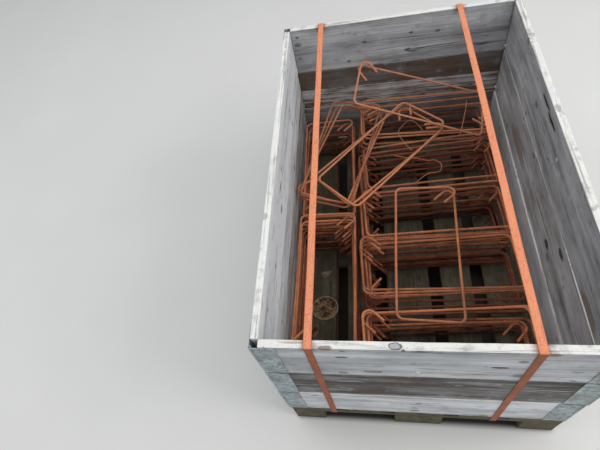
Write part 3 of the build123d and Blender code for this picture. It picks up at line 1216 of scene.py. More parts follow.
@dataclass
class Pallet:
    """Flat pallet: three runners, nine blocks, three cross boards and five deck boards.

    Each nail is placed by a share of its board's width and by millimetres along it.
    """

    runner_thick: float = 22.0
    outer_block: float = 100.0
    middle_block: float = 145.0
    block_length: float = 145.0
    deck_widths: tuple[float, ...] = (145.0, 100.0, 145.0, 100.0, 145.0)
    deck_nails: tuple[Pair, ...] = ((-0.28, -34), (0.28, 30), (-0.28, 40), (0.28, -38))
    runner_nails: tuple[Pair, ...] = ((-0.26, -36), (0.26, 32))
    seed: int = 500

    def columns(self) -> list[Pair]:
        """Middle and width of each runner's column of blocks."""
        side = (PALLET_WIDTH - self.outer_block) / 2
        return [(-side, self.outer_block), (0.0, self.middle_block), (side, self.outer_block)]

    def rows(self) -> list[float]:
        """Middle of each row of blocks."""
        end = (PALLET_LENGTH - self.block_length) / 2
        return [-end, 0.0, end]

    def deck(self) -> list[Pair]:
        """Space the deck boards: the outer ones flush with the pallet's sides, and the inner
        ones halfway between those and the middle one.

        Returns:
            Middle and width of each, from left to right.
        """
        outer = (PALLET_WIDTH - self.deck_widths[0]) / 2
        inner = (outer - self.deck_widths[0] / 2 + self.deck_widths[2] / 2) / 2
        return list(zip((-outer, -inner, 0.0, inner, outer), self.deck_widths))

    def build(self, material: bpy.types.Material) -> list[bpy.types.Object]:
        """Make the four layers of the pallet.

        Args:
            material: The wood's finish.

        Returns:
            The pieces.
        """
        half = PALLET_LENGTH / 2
        runners = [Board((x - w / 2, -half, 0.0), (x + w / 2, half, self.runner_thick), FLAT_Y,
                         self.seed + i, Weather(0.62, 0.7)) for i, (x, w) in enumerate(self.columns())]
        blocks = [Board((x - w / 2, y - self.block_length / 2, self.runner_thick),
                        (x + w / 2, y + self.block_length / 2, BLOCK_TOP), FLAT_Y,
                        self.seed + 10 + 3 * i + j, Weather(0.55, 0.8), round_over=3.0)
                  for i, (x, w) in enumerate(self.columns()) for j, y in enumerate(self.rows())]
        cross = [Board((-PALLET_WIDTH / 2, y - self.block_length / 2, BLOCK_TOP),
                       (PALLET_WIDTH / 2, y + self.block_length / 2, CROSS_TOP), FLAT_X,
                       self.seed + 30 + i, Weather(0.6, 0.6)) for i, y in enumerate(self.rows())]
        deck = [Board((x - w / 2, -half, CROSS_TOP), (x + w / 2, half, DECK_TOP), FLAT_Y,
                      self.seed + 40 + i, Weather(0.50, 0.65, 0.8)) for i, (x, w) in enumerate(self.deck())]
        layers = {"runners": runners, "blocks": blocks, "cross_boards": cross, "deck_boards": deck}
        return [make_piece(f"pallet_{name}_worn", joined([board.surface() for board in boards]), material,
                           (f"pallet_{name}",)) for name, boards in layers.items()]

    def nails(self, material: bpy.types.Material) -> bpy.types.Object:
        """Nail heads where the deck boards cross the cross boards, and under the runners.

        Args:
            material: The nails' finish.

        Returns:
            The piece.
        """
        radius, height, sunk = 4.2, 0.9, 0.6
        places, facing = [], []
        for boards, nails, level, up in ((self.deck(), self.deck_nails, DECK_TOP - sunk, 1.0),
                                         (self.columns(), self.runner_nails, height, -1.0)):
            places += [(x + share * width, y + shift, level) for x, width in boards for y in self.rows()
                       for share, shift in nails]
            facing += [(0.0, 0.0, up)] * (len(places) - len(facing))
        heads = studs(np.array(places), np.array(facing), radius, height)
        return make_piece("pallet_nails", heads, material)


@dataclass
class Hinges:
    """Corner hinges of the collars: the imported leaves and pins, with nail heads added.

    Each nail is placed by its distance from the corner and from the collar's lower edge.
    """

    thick: float = 1.5
    gap: float = 0.2
    head_radius: float = 4.6
    head_height: float = 1.5
    sunk: float = 0.05
    nails: tuple[Pair, ...] = (
        (20, 30), (46, 30), (20, 84), (46, 66), (20, 120), (46, 132), (20, 166), (46, 168))

    def build(self, zinc: bpy.types.Material, pin: bpy.types.Material) -> bpy.types.Object:
        """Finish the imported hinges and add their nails.

        Args:
            zinc: Finish of leaves and nails.
            pin: Finish of the pins.

        Returns:
            The nails' piece.
        """
        for name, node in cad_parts.items():
            if "hinge" in name:
                node.data.materials.clear()
                node.data.materials.append(pin if name.endswith("pins") else zinc)
        half_x, half_y = PALLET_WIDTH / 2, PALLET_LENGTH / 2
        face = self.gap + self.thick - self.sunk
        places, facing = [], []
        for (tier, shift), sx, sy in product(enumerate(COLLAR_SHIFT), (-1, 1), (-1, 1)):
            for back, rise in self.nails:
                height = DECK_TOP + tier * COLLAR_HEIGHT + rise
                places += [(shift + sx * (half_x - back), sy * (half_y + face), height),
                           (shift + sx * (half_x + face), sy * (half_y - back), height)]
                facing += [(0.0, sy, 0.0), (sx, 0.0, 0.0)]
        heads = studs(np.array(places), np.array(facing, float), self.head_radius, self.head_height)
        return make_piece("hinge_nails", heads, zinc)


# Straps


@dataclass
class Strap:
    """One steel strap round the collars and under the cross boards.

    Its section, a flat rectangle with round edges, is carried along a rectangle with
    tight round corners that stands in the Y-Z plane.  It drifts sideways and twists by
    sums of sines, each given by its size and its number of waves round the crate.
    """

    name: str
    x: float
    seed: int
    width: float = 19.0
    thick: float = 1.0
    gap: float = 0.3
    bend: float = 1.4
    spacing: float = 9.0
    drift: tuple[tuple[float, int], ...] = ((0.5, 3), (0.3, 11))
    twist: tuple[tuple[float, int], ...] = ((0.012, 5), (0.008, 13))

    def loop(self) -> tuple[np.ndarray, np.ndarray]:
        """Work out the centre line, a round corner and then a straight run four times.

        Returns:
            Its points in Y and Z and their outward directions, in order round the crate.
        """
        middle = np.array([0.0, (RIM + BLOCK_TOP) / 2])
        half = np.array([PALLET_LENGTH, RIM - BLOCK_TOP]) / 2 + self.gap + self.thick / 2
        signs = np.array([(1, 1), (-1, 1), (-1, -1), (1, -1)])
        line, out = [], []
        for number, (sign, after) in enumerate(zip(signs, np.roll(signs, -1, axis=0))):
            facing = on_circle(np.radians(90 * number + np.linspace(0, 90, 5)))
            bend = middle + sign * (half - self.bend) + self.bend * facing
            steps = int(np.linalg.norm((after - sign) * half) / self.spacing)
            share = np.linspace(0, 1, steps + 2)[1:-1, None]
            line += [bend, bend[-1] + share * (after - sign) * (half - self.bend)]
            out += [facing, np.tile(facing[-1], (steps, 1))]
        return np.concatenate(line), np.concatenate(out)

    def build(self, material: bpy.types.Material) -> bpy.types.Object:
        """Make the strap.

        Args:
            material: Its finish.

        Returns:
            The piece.
        """
        rng = np.random.default_rng(self.seed)
        line, out = self.loop()
        run = run_along(line)
        span = run[-1] + np.linalg.norm(line[0] - line[-1])
        phase = 2 * math.pi * run / span
        drift, twist = (sum(size * np.sin(waves * phase + rng.uniform(0, 6)) for size, waves in sines)
                        for sines in (self.drift, self.twist))
        half, edge = self.width / 2, self.thick / 2
        arc = np.radians([-90.0, -45.0, 0.0, 45.0, 90.0])
        flat = np.array([4.0, 0.0, -4.0])
        across = np.concatenate([half - edge + edge * np.cos(arc), flat,
                                 -half + edge - edge * np.cos(arc), -flat])
        lift = np.concatenate([edge * np.sin(arc), [edge] * 3, edge * np.sin(arc[::-1]), [-edge] * 3])
        rise = np.minimum(lift[None] + twist[:, None] * across[None], edge)
        points = np.empty((len(line), len(across), 3))
        points[..., 0] = self.x + across[None] + drift[:, None]
        points[..., 1:] = line[:, None] + rise[..., None] * out[:, None]
        band = np.zeros_like(points)
        band[..., 0], band[..., 1] = run[:, None] * MM, across[None] * MM
        number = np.arange(len(line) * len(across)).reshape(len(line), -1)
        faces = grid_faces(np.pad(number, ((0, 1), (0, 1)), mode="wrap"))
        shell = Shell(points.reshape(-1, 3), faces, values={"band": band.reshape(-1, 3)})
        return make_piece(f"{self.name}_rusty", shell, material, (self.name,), sharp=60.0)


# Stirrups


@dataclass
class StirrupShape:
    """Size and centre line of one stirrup, the same as in the part's source."""

    bar_diameter: float = 8.0
    bar_flats: int = 6
    width: float = 195.0
    length: float = 475.0
    bend_radius: float = 20.0
    tail_length: float = 40.0
    mitre_turn: float = 45.0
    end_step: float = 24.0
    seat_gap: float = 0.6
    route_step: float = 2.5
    plain_radius: float = 3.85
    core_radius: float = 3.62
    rib_height: float = 0.52
    seam_height: float = 0.25
    seam_crest: float = 0.4
    plain_crest: float = 0.35

    def __post_init__(self) -> None:
        """Work out the sizes of the six-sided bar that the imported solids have."""
        area = math.pi * self.bar_diameter**2 / 4
        self.bar_corner = math.sqrt(2 * area / (self.bar_flats * math.sin(2 * math.pi / self.bar_flats)))
        self.bar_flat = self.bar_corner * math.cos(math.pi / self.bar_flats)
        self.half_width = (self.width - self.bar_diameter) / 2
        self.half_length = (self.length - self.bar_diameter) / 2

    def bends(self) -> list[tuple[float, float, float, float]]:
        """Centre x, centre y, first and last angle of each bend, from hook to hook."""
        x, y = self.half_width - self.bend_radius, self.half_length - self.bend_radius
        return [(x, y, 135, 0), (x, -y, 0, -90), (-x, -y, -90, -180), (-x, y, 180, 90), (x, y, 90, -45)]

    def tails(self) -> tuple[Pair, Pair]:
        """Work out the tips of the hooks, whose tails both run slantwise into the loop.

        Returns:
            The first tip and the last.
        """
        x, y, _, _ = self.bends()[0]
        out, tail = self.bend_radius * math.sqrt(0.5), self.tail_length * math.sqrt(0.5)
        return (x - out - tail, y + out - tail), (x + out - tail, y - out - tail)

    def climbing(self, flat: np.ndarray) -> tuple[np.ndarray, np.ndarray]:
        """Add the steady climb from hook to hook to a flat line.

        Args:
            flat: Points in X and Y.

        Returns:
            Points in X, Y and Z, and the run to each of them.
        """
        run = run_along(flat)
        return np.column_stack([flat, self.end_step * run / run[-1]]), run

    def mitred_line(self) -> np.ndarray:
        """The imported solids' own line: each bend is straight mitres that touch the true arc,
        so their corners lie at r / cos(half the mitre's turn).

        Returns:
            Points about route_step apart.
        """
        first, last = self.tails()
        reach = self.bend_radius / math.cos(math.radians(self.mitre_turn / 2))
        flat = [np.array([first])]
        for cx, cy, start, stop in self.bends():
            mitres = round(abs(stop - start) / self.mitre_turn)
            turn = np.radians(start + (stop - start) * (np.arange(mitres) + 0.5) / mitres)
            flat.append((cx, cy) + reach * on_circle(turn))
        line, _ = self.climbing(np.concatenate([*flat, [last]]))
        run = run_along(line)
        at = np.linspace(0.0, run[-1], int(run[-1] / self.route_step) + 2)
        return np.stack([np.interp(at, run, line[:, k]) for k in range(3)], axis=1)

    def round_line(self, spacing: float) -> tuple[np.ndarray, np.ndarray]:
        """The real bar's line, with round bends.

        Args:
            spacing: Distance between points on the straights, mm.

        Returns:
            Points, and the run to each of them.
        """
        first, last = self.tails()
        legs = [np.array([first])]
        arc_step = math.degrees(min(spacing, 4.0) / self.bend_radius)
        for cx, cy, start, stop in self.bends():
            turn = np.radians(np.linspace(start, stop, math.ceil(abs(stop - start) / arc_step) + 1))
            legs.append((cx, cy) + self.bend_radius * on_circle(turn))
        legs.append(np.array([last]))
        flat = [legs[0]]
        for leg in legs[1:]:
            begin, end = flat[-1][-1], leg[0]
            steps = max(math.ceil(np.linalg.norm(end - begin) / spacing), 1)
            flat.append(begin + (end - begin) * (np.arange(1, steps) / steps)[:, None])
            flat.append(leg)
        return self.climbing(np.concatenate(flat))

    def bar(self, detail: Detail) -> Shell:
        """One stirrup at the origin.

        A ribbed bar's radius at angle a and run s is the core, plus a crescent rib of
        height |sin a|^0.7 max(0, cos(2 pi s / pitch + slant cos a))^1.3, plus a seam along
        each side.

        Args:
            detail: Ribs as shape, or a plain bar with its ribs left to the finish.

        Returns:
            The bar with its values bar and crest.
        """
        around, spacing = (12, RIB_PITCH / 4) if detail is Detail.RIBBED else (8, 42.0)
        line, run = self.round_line(spacing)
        angle = 2 * math.pi * np.arange(around) / around
        cos, sin = np.cos(angle)[None], np.sin(angle)[None]
        if detail is Detail.RIBBED:
            rib = np.maximum(0, np.cos(2 * math.pi * run[:, None] / RIB_PITCH + RIB_SLANT * cos)) ** 1.3
            rib = rib * np.abs(sin) ** 0.7
            seam = (np.abs(cos) > 0.99).astype(float)
            radius = self.core_radius + self.rib_height * rib + self.seam_height * seam
            crest = np.maximum(rib, seam * self.seam_crest)
        else:
            radius = np.full((len(line), around), self.plain_radius)
            crest = np.full_like(radius, self.plain_crest)
        shell = tube(line, radius)
        bar = np.stack(np.broadcast_arrays(run[:, None] * MM, cos, sin), axis=-1)
        ends = np.array([[run[0] * MM, 0.0, 0.0], [run[-1] * MM, 0.0, 0.0]])
        shell.values["bar"] = np.concatenate([bar.reshape(-1, 3), ends])
        shell.values["crest"] = np.concatenate([crest.ravel(), [self.seam_crest] * 2])
        return shell


@dataclass
class Lay:
    """Where one stirrup is asked to lie before it is lowered on what is below."""

    x: float
    y: float
    yaw: float
    hooks: HookCorner
    tilt: Pair = (0.0, 0.0)

    def matrix(self) -> np.ndarray:
        """Turn the stirrup over or round, then by its yaw and tilt, and then place it.

        Returns:
            All of it as a 4 by 4 matrix.
        """
        half_turn = Matrix.Rotation(math.pi, 4, "Z")
        over = Matrix.Rotation(math.pi, 4, "Y")
        turned = {HookCorner.FAR_RIGHT: Matrix.Identity(4), HookCorner.NEAR_LEFT: half_turn,
                  HookCorner.FAR_LEFT: over, HookCorner.NEAR_RIGHT: half_turn @ over}[self.hooks]
        tilt_x, tilt_y, yaw = (Matrix.Rotation(math.radians(angle), 4, axis)
                               for angle, axis in zip((*self.tilt, self.yaw), "XYZ"))
        return np.array(Matrix.Translation((self.x, self.y, 0.0)) @ tilt_x @ tilt_y @ yaw @ turned)


class Heap:
    """All stirrups in the crate: lowers each on the bars below it, as the part's source does."""

    def __init__(self, shape: StirrupShape) -> None:
        """Start with nothing in the crate.

        Args:
            shape: The stirrup.
        """
        self.shape = shape
        self.line = shape.mitred_line()
        self.lying: list[np.ndarray] = []
        self.stacked: list[np.ndarray] = []

    def rest(self, lay: Lay, below: list[np.ndarray]) -> np.ndarray:
        """Lower one stirrup until it touches the deck or a bar.

        Args:
            lay: Where it is to lie.
            below: Lines of the bars below it; its own line joins them.

        Returns:
            Its final 4 by 4 matrix.
        """
        shape = self.shape
        place = lay.matrix()
        points = self.line @ place[:3, :3].T + place[:3, 3]
        lift = DECK_TOP + shape.bar_flat + shape.seat_gap - points[:, 2].min()
        near = 2 * shape.bar_corner
        for other in below:
            apart = np.hypot(points[:, None, 0] - other[None, :, 0], points[:, None, 1] - other[None, :, 1])
            share = np.clip((near - apart) / shape.bar_corner, 0.0, 1.0)
            needed = other[None, :, 2] + 2 * shape.bar_flat * share + shape.seat_gap - points[:, None, 2]
            lift = max(lift, needed[apart < near].max(initial=lift))
        below.append(points + np.array([0.0, 0.0, lift]))
        place[2, 3] += lift
        return place

    def settle(self, points: np.ndarray, radius: float) -> np.ndarray:
        """Lower something light, as one, until it touches the deck or a bar of a stack.

        Args:
            points: Its points, with heights of their own.
            radius: How far it reaches below them.

        Returns:
            The points where it lies.
        """
        shape = self.shape
        lift = DECK_TOP + radius - points[:, 2].min()
        reach = shape.bar_corner + radius
        for other in self.stacked:
            apart = np.hypot(points[:, None, 0] - other[None, :, 0], points[:, None, 1] - other[None, :, 1])
            needed = other[None, :, 2] + reach - points[:, None, 2]
            lift = max(lift, needed[apart < reach].max(initial=lift))
        return points + np.array([0.0, 0.0, lift])


@dataclass
class TieWire:
    """A scrap of soft tie wire lying on the stacks: a thin tube along a smooth line."""

    name: str
    stops: tuple[Triple, ...]
    radius: float = 1.2
    around: int = 6
    steps: int = 8

    def build(self, heap: Heap, material: bpy.types.Material) -> bpy.types.Object:
        """Lower the wire on the stacks and make it.

        Args:
            heap: The crate's stirrups.
            material: Its finish.

        Returns:
            The piece.
        """
        line = heap.settle(smooth_line(self.stops, self.steps), self.radius)
        shell = tube(line, np.full((len(line), self.around), self.radius))
        shell.with_value("shade", 0.75).with_value("crest", 0.4)
        return make_piece(self.name, shell, material, sharp=80.0)


TIE_WIRES = (
    TieWire("bent_wire", ((2, 372, 6), (-3, 350, 4), (7, 328, 1), (21, 297, 0), (41, 268, 0))),
    TieWire("hooked_wire", ((2, 374, 0), (20, 396, 6), (42, 411, 9), (66, 397, 7), (91, 355, 0))),
    TieWire("wavy_wire", ((-23, 255, 0), (14, 241, 1), (51, 235, 0), (74, 224, 4), (92, 216, 5),
                          (116, 217, 3), (134, 200, 4), (134, 176, 5), (122, 161, 4), (92, 158, 3),
                          (67, 144, 1), (41, 120, 0))),
    TieWire("straight_wire", ((214, 318, 0), (232, 380, 3), (250, 446, 2), (262, 500, 0)), 1.6),
)


@dataclass
class Litter:
    """A dry leaf or a flake of bark on the deck.

    A square grid from -1 to 1 is pressed into a disc, x = u sqrt(1 - v^2 / 2) and
    y = v sqrt(1 - u^2 / 2), stretched to its half sizes, notched at its rim, and curled
    up by curl x^2.
    """

    name: str
    middle: Pair
    half: Pair
    turn: float
    seed: int
    curl: float = 4.0
    notch: float = 0.18
    thick: float = 0.8
    cells: int = 24

    def build(self, material: bpy.types.Material) -> bpy.types.Object:
        """Make the leaf.

        Args:
            material: Its finish.

        Returns:
            The piece.
        """
        rng = np.random.default_rng(self.seed)
        starts = rng.uniform(0, 2 * math.pi, 3)
        across = np.linspace(-1, 1, self.cells + 1)
        u, v = np.meshgrid(across, across)
        x, y = u * np.sqrt(1 - v**2 / 2), v * np.sqrt(1 - u**2 / 2)
        angle, reach = np.arctan2(y, x), np.hypot(x, y)
        lobes = 0.5 + 0.5 * np.sin(5 * angle + starts[0]) * np.sin(8 * angle + starts[1])
        cut = 1 - self.notch * lobes * reach**3
        flat_x, flat_y = x * cut * self.half[0], y * cut * self.half[1]
        cos, sin = math.cos(math.radians(self.turn)), math.sin(math.radians(self.turn))
        height = DECK_TOP + self.thick + self.curl * x**2 + 0.7 * (1 + np.sin(5 * x + 4 * y + starts[2]))
        top = np.stack([self.middle[0] + flat_x * cos - flat_y * sin,
                        self.middle[1] + flat_x * sin + flat_y * cos, height], axis=-1)
        shell = slab(top, self.thick)
        rim = np.clip((reach - 0.88) / 0.10, 0, 1).ravel()
        shell.values["rim"] = np.concatenate([rim, rim])
        return make_piece(self.name, shell, material)


@dataclass
class Bundle:
    """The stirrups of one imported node, as one piece.

    Each bar bows by a millimetre at most: its points move sideways by a sine of their own
    place along the stirrup.
    """

    node: str
    places: list[np.ndarray]
    seed: int
    ribbed: int = 3
    bow_size: Pair = (1.0, 0.6)
    bow_wave: Pair = (300.0, 130.0)

    def build(self, shape: StirrupShape, material: bpy.types.Material) -> bpy.types.Object:
        """Make the bundle: the top stirrups ribbed, those under them plain.

        Args:
            shape: The stirrup.
            material: The bars' finish.

        Returns:
            The piece.
        """
        rng = np.random.default_rng(self.seed)
        shells = {detail: shape.bar(detail) for detail in Detail}
        made = []
        for number, place in enumerate(self.places):
            detail = Detail.RIBBED if number >= len(self.places) - self.ribbed else Detail.PLAIN
            own = shells[detail]
            phase, size = rng.uniform(0, 2 * math.pi, 2), rng.uniform(-1.0, 1.0, 2)
            bow = np.zeros_like(own.points)
            for axis, (most, wave) in enumerate(zip(self.bow_size, self.bow_wave)):
                swing = math.pi * own.points[:, 1 - axis] / wave + phase[axis]
                bow[:, axis] = most * size[axis] * np.sin(swing)
            points = (own.points + bow) @ place[:3, :3].T + place[:3, 3]
            made.append(Shell(points, own.quads, own.tris, dict(own.values))
                        .with_value("shade", rng.uniform(0, 1)))
        return make_piece(f"{self.node}_bars", joined(made), material, (self.node,),
                          sharp=70.0)


@dataclass
class Load:
    """The stirrups' plan: five stacks on the right, two on the left, and loose ones on top.

    The shares divide the free room across the crate and along each column of stacks.  A
    stirrup strays and turns in its stack by sines of its number, within the limits here.
    """

    shape: StirrupShape = field(default_factory=StirrupShape)
    across_shares: tuple[float, ...] = (5.0, 34.0, 51.0)
    right_shares: tuple[float, ...] = (22.0, 56.0, 18.0, 8.0, 8.0, 36.0)
    left_shares: tuple[float, ...] = (96.0, 12.0, 102.0)
    count: int = 10
    right_turns: tuple[float, ...] = (2.0, 2.5, 3.0, 3.5, -1.0)
    turn_share: float = 0.5
    stray_share: float = 0.44
    stray_most: float = 13.0
    twist_share: float = 0.3
    twist_most: float = 1.2
    stray_turn: float = 0.9
    twist_wave: float = 1.7
    along_wave: float = 1.3
    crossing_offset: float = 170.0
    loose_seed: int = 20

    @staticmethod
    def spread(inside: float, sizes: list[float], shares: tuple[float, ...],
               kept: list[float]) -> tuple[list[float], list[Pair]]:
        """Share out the room that a row of stacks leaves inside the collars.

        Args:
            inside: Room between the two walls.
            sizes: Size of each stack along the row.
            shares: Shares of the free room before, between and after them.
            kept: Room before, between and after them that is not free.

        Returns:
            The middle of each stack, and the free room before and after each.
        """
        room = (inside - sum(sizes) - sum(kept)) / sum(shares)
        spaces = [room * share for share in shares]
        middles, edge = [], -inside / 2
        for size, space, taken in zip(sizes, spaces, kept):
            middles.append(edge + space + taken + size / 2)
            edge += space + taken + size
        return middles, list(zip(spaces, spaces[1:]))

    def room_for(self, turns: list[float]) -> list[float]:
        """Room that turned stacks take at the walls and beside any that aren't parallel to them.

        Args:
            turns: Turn of each stack, degrees.

        Returns:
            The room before, between and after them.
        """
        with_walls = [0.0, *turns, 0.0]
        between = (math.radians(abs(after - before)) for before, after in zip(with_walls, with_walls[1:]))
        return [self.shape.length / 2 * math.sin(angle) for angle in between]

    def stack(self, heap: Heap, middle: Pair, yaw: float, hooks: list[HookCorner],
              phase: int, beside: Pair, beyond: Pair) -> list[np.ndarray]:
        """Lay one stack from the deck up.

        Each stirrup turns and strays inside its share of the free room, by sines of its
        number in the stack.

        Args:
            heap: The crate's stirrups so far.
            middle: Middle of the stack.
            yaw: Turn of the stack, degrees.
            hooks: Hook corners, repeated up the stack.
            phase: Where the stray starts.
            beside: Free room to the left and right of the long sides.
            beyond: Free room at the near and far ends.

        Returns:
            A matrix for each stirrup.
        """
        left, right = (min(self.stray_most, self.stray_share * room) for room in beside)
        near, far = (min(self.stray_most, self.stray_share * room) for room in beyond)
        half_long, half_wide = self.shape.half_length, self.shape.half_width
        most = min(math.radians(self.twist_most),
                   self.twist_share * min((left + right) / half_long, (near + far) / half_wide))
        aim = math.radians(yaw)
        below: list[np.ndarray] = []
        places = []
        for layer in range(self.count):
            swing = self.stray_turn * layer + phase
            turn = most * math.sin(self.twist_wave * swing)
            half_across = (left + right) / 2 - half_long * abs(math.sin(turn))
            half_along = (near + far) / 2 - half_wide * abs(math.sin(turn))
            across = (right - left) / 2 + half_across * math.sin(swing)
            along = (far - near) / 2 + half_along * math.cos(self.along_wave * swing)
            lay = Lay(middle[0] + across * math.cos(aim) - along * math.sin(aim),
                      middle[1] + across * math.sin(aim) + along * math.cos(aim),
                      yaw + math.degrees(turn), hooks[layer % len(hooks)])
            places.append(heap.rest(lay, below))
        heap.lying += below
        return places

    def off_left(self, clearance: float, yaw: float) -> float:
        """Where the middle of a turned stirrup lies when it clears the left collars.

        Args:
            clearance: Room to the collars.
            yaw: Turn of the stirrup, degrees.

        Returns:
            The middle's x.
        """
        turn = math.radians(yaw)
        reach = self.shape.width * math.cos(turn) + self.shape.length * abs(math.sin(turn))
        return -INSIDE_X + clearance + reach / 2

    def build(self, material: bpy.types.Material) -> list[bpy.types.Object]:
        """Lay and make every bundle.

        Args:
            material: The bars' finish.

        Returns:
            The pieces.
        """
        fr, nl, fl, nr = HookCorner
        right_hooks = [[fr, fr, nl, fr, fr, nr], [fr, fr, fr, nl, fr, fl, fl], [fr, nr, fr, fr, fl, fl],
                       [nl, fr, fr, nr, nr], [fr, nl, nl, fr]]
        left_hooks = [[nl, fr, fr, fr], [nl, fr, nl, fl]]
        width, length = self.shape.width, self.shape.length
        column_x, across_room = self.spread(2 * INSIDE_X, [width, length], self.across_shares, [0.0] * 3)
        left_y, left_room = self.spread(2 * INSIDE_Y, [length] * 2, self.left_shares, [0.0] * 3)
        most = max(abs(turn) for turn in self.right_turns)
        turned_most = self.shape.half_width * math.sin(math.radians(most))
        free = (2 * INSIDE_Y - 5 * width) / sum(self.room_for(self.right_turns))
        scale = min(1.0, self.turn_share * min(min(across_room[1]) / turned_most, free))
        turns = [turn * scale for turn in self.right_turns]
        right_y, right_room = self.spread(2 * INSIDE_Y, [width] * 5, self.right_shares,
                                          self.room_for(turns))
        beyond = [room - turned_most * scale for room in across_room[1][::-1]]
        heap = Heap(self.shape)
        bundles = []
        for number, (y, turn, room, hooks) in enumerate(zip(right_y, turns, right_room, right_hooks), 1):
            places = self.stack(heap, (column_x[1], y), 90 + turn, hooks, number, room, beyond)
            bundles.append(Bundle(f"right_stack_{number}", places, number))
        for number, (y, room, hooks) in enumerate(zip(left_y, left_room, left_hooks), 1):
            places = self.stack(heap, (column_x[0], y), 0, hooks, number + 5, across_room[0], room)
            bundles.append(Bundle(f"left_stack_{number}", places, number + 5))
        heap.stacked = list(heap.lying)
        slanted_y, crossing_y = left_y[1], right_y[3]
        crossing_x = column_x[1] - self.crossing_offset
        loose = {
            "slanted_stirrups": [Lay(self.off_left(2.5, -17), slanted_y + 21, -17, fr),
                                 Lay(self.off_left(2.5, -20), slanted_y + 17, -20, nl),
                                 Lay(self.off_left(16, -14), slanted_y + 10, -14, fr)],
            "crossing_stirrups": [Lay(crossing_x, crossing_y - 4, -46, fl),
                                  Lay(crossing_x + 8, crossing_y - 11, -43, fr)],
            "loose_stirrup": [Lay(column_x[1] - 41, right_y[1] + 28, -3, fr)],
            "leaning_stirrup": [Lay(column_x[1] - 21, right_y[4] - 45, 79, fr, (13, 18))],
        }
        for number, (node, lays) in enumerate(loose.items(), self.loose_seed):
            bundles.append(Bundle(node, [heap.rest(lay, heap.lying) for lay in lays], number))
        made = [bundle.build(self.shape, material) for bundle in bundles]
        return made + [wire.build(heap, material) for wire in TIE_WIRES]


# Light, floor and camera


@dataclass
class Studio:
    """Pale floor, soft light and the camera at the picture's viewing angle.

    The camera's place is in millimetres, the floor and the lamps are in metres.
    """

    lens: float = 28.153
    shift: Pair = (0.06, -0.03)
    place: Triple = (-95.77, -938.04, 1752.2)
    right: Triple = (0.9711, 0.09439, -0.21922)
    down: Triple = (-0.04883, -0.82049, -0.56957)
    ahead: Triple = (-0.23363, 0.56381, -0.79217)
    floor_half: float = 6.0
    floor_lines: int = 9
    lamp_aim: float = 0.3

    def camera(self) -> None:
        """Make the camera and set it."""
        data = bpy.data.cameras.new("crate_camera")
        data.sensor_width, data.lens = 36.0, self.lens
        data.shift_x, data.shift_y = self.shift
        data.clip_start, data.clip_end = 0.05, 60.0
        camera = bpy.data.objects.new("crate_camera", data)
        up, back = (tuple(-part for part in axis) for axis in (self.down, self.ahead))
        axes = Matrix((self.right, up, back)).transposed()
        camera.matrix_world = Matrix.Translation([v * MM for v in self.place]) @ axes.to_4x4()
        bpy.context.scene.collection.objects.link(camera)
        bpy.context.scene.camera = camera

    def floor(self) -> None:
        """Make the pale floor, a wide flat sheet."""
        across = np.linspace(-self.floor_half, self.floor_half, self.floor_lines)
        x, y = np.meshgrid(across, across)
        points = np.stack([x, y, np.zeros_like(x)], axis=-1).reshape(-1, 3)
        faces = grid_faces(np.arange(x.size).reshape(x.shape))[:, [0, 3, 2, 1]]
        mesh = bpy.data.meshes.new("floor")
        mesh.from_pydata(points.tolist(), [], faces.tolist())
        mesh.materials.append(FloorFinish("Pale floor").material({}))
        floor = bpy.data.objects.new("floor", mesh)
        bpy.context.scene.collection.objects.link(floor)

    def lamp(self, name: str, place: Triple, size: float, power: float, colour: Triple) -> None:
        """Add a square soft light that faces the middle of the crate.

        Args:
            name: Its name.
            place: Where it hangs, metres.
            size: Side, metres.
            power: Watts.
            colour: Its colour.
        """
        data = bpy.data.lights.new(name, "AREA")
        data.shape, data.size, data.energy, data.color = "SQUARE", size, power, colour
        lamp = bpy.data.objects.new(name, data)
        lamp.location = place
        away = lamp.location.copy()
        away.z -= self.lamp_aim
        lamp.rotation_mode = "QUATERNION"
        lamp.rotation_quaternion = (-away).to_track_quat("-Z", "Y")
        bpy.context.scene.collection.objects.link(lamp)

    def build(self) -> None:
        """Set the camera, floor, lights and world."""
        self.camera()
        self.floor()
        self.lamp("overhead_softbox", (0.2, 0.2, 3.8), 3.4, 14.0, (1.0, 0.99, 0.97))
        self.lamp("right_softbox", (3.0, -0.7, 2.7), 2.4, 72.0, (1.0, 0.98, 0.96))
        self.lamp("left_softbox", (-2.4, -0.2, 3.6), 3.0, 30.0, (0.97, 0.98, 1.0))
        world = bpy.data.worlds.new("soft_sky")
        world.use_nodes = True
        shade = world.node_tree.nodes["Background"]
        shade.inputs["Color"].default_value = (0.93, 0.96, 1.0, 1.0)
        shade.inputs["Strength"].default_value = 0.56
        bpy.context.scene.world = world
        bpy.context.scene.view_settings.view_transform = "Standard"


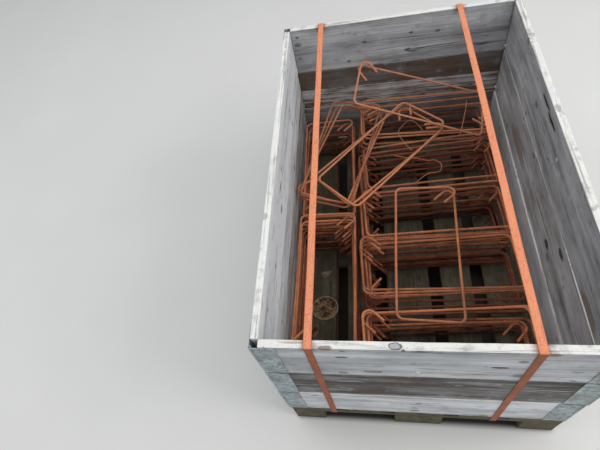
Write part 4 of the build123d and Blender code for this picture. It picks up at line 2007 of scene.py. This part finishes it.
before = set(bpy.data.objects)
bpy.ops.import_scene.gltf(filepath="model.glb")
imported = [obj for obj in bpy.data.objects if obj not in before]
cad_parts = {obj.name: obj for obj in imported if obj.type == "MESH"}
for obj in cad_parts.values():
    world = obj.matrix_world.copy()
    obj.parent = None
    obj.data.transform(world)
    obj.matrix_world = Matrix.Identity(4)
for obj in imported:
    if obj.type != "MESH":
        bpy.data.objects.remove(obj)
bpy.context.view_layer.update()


def main() -> None:
    """Build and dress the crate, its load and its straps."""
    logging.basicConfig(level=logging.INFO, format="%(name)s: %(message)s")
    Studio().build()
    groups = {"grain": grain_group(), "rust": rust_group(), "damp": damp_group(),
              "stain": strap_stain_group(), "marks": marks_group()}
    collar_wood = WoodFinish("Weathered collar wood").material(groups)
    pallet_wood = WoodFinish(
        "Damp pallet wood", silver=paint(138, 132, 114), slate=paint(66, 60, 50), brown=paint(84, 68, 48),
        algae=paint(78, 76, 52), damp_level=0.2, damp_amount=1.0, algae_share=0.5,
        marked=False).material(groups)
    bar = BarFinish("Rusty ribbed bar").material(groups)
    strap = StrapFinish("Rusty strapping").material(groups)
    zinc = ZincFinish("Galvanised hinge").material(groups)
    pin = ZincFinish("Dull hinge pin", pale=paint(120, 126, 128), deep=paint(84, 88, 90)).material(groups)
    leaf = LeafFinish("Dry leaf").material(groups)
    bark = LeafFinish("Grey bark", light=paint(176, 140, 106), deep=paint(70, 64, 46)).material(groups)
    flake = LeafFinish("Pale flake", light=paint(168, 150, 140), deep=paint(128, 112, 102),
                       rim=paint(150, 134, 124)).material(groups)
    pallet = Pallet()
    pallet.build(pallet_wood)
    pallet.nails(bar)
    for tier in COLLAR_TIERS:
        tier.build(collar_wood)
    Hinges().build(zinc, pin)
    for number, (name, x) in enumerate(zip(("left_strap", "right_strap"), STRAP_X)):
        Strap(name, x, 700 + number).build(strap)
    Load().build(bar)
    Litter("bark_disc", (-296, -257), (49, 46), 24, 41, 2.0, 0.05).build(bark)
    Litter("dry_leaf", (-331, -344), (24, 15), 70, 42).build(leaf)
    Litter("pale_flake", (-294, -121), (25, 16), 20, 43, 5.0, 0.45).build(flake)


if __name__ == "__main__":
    main()
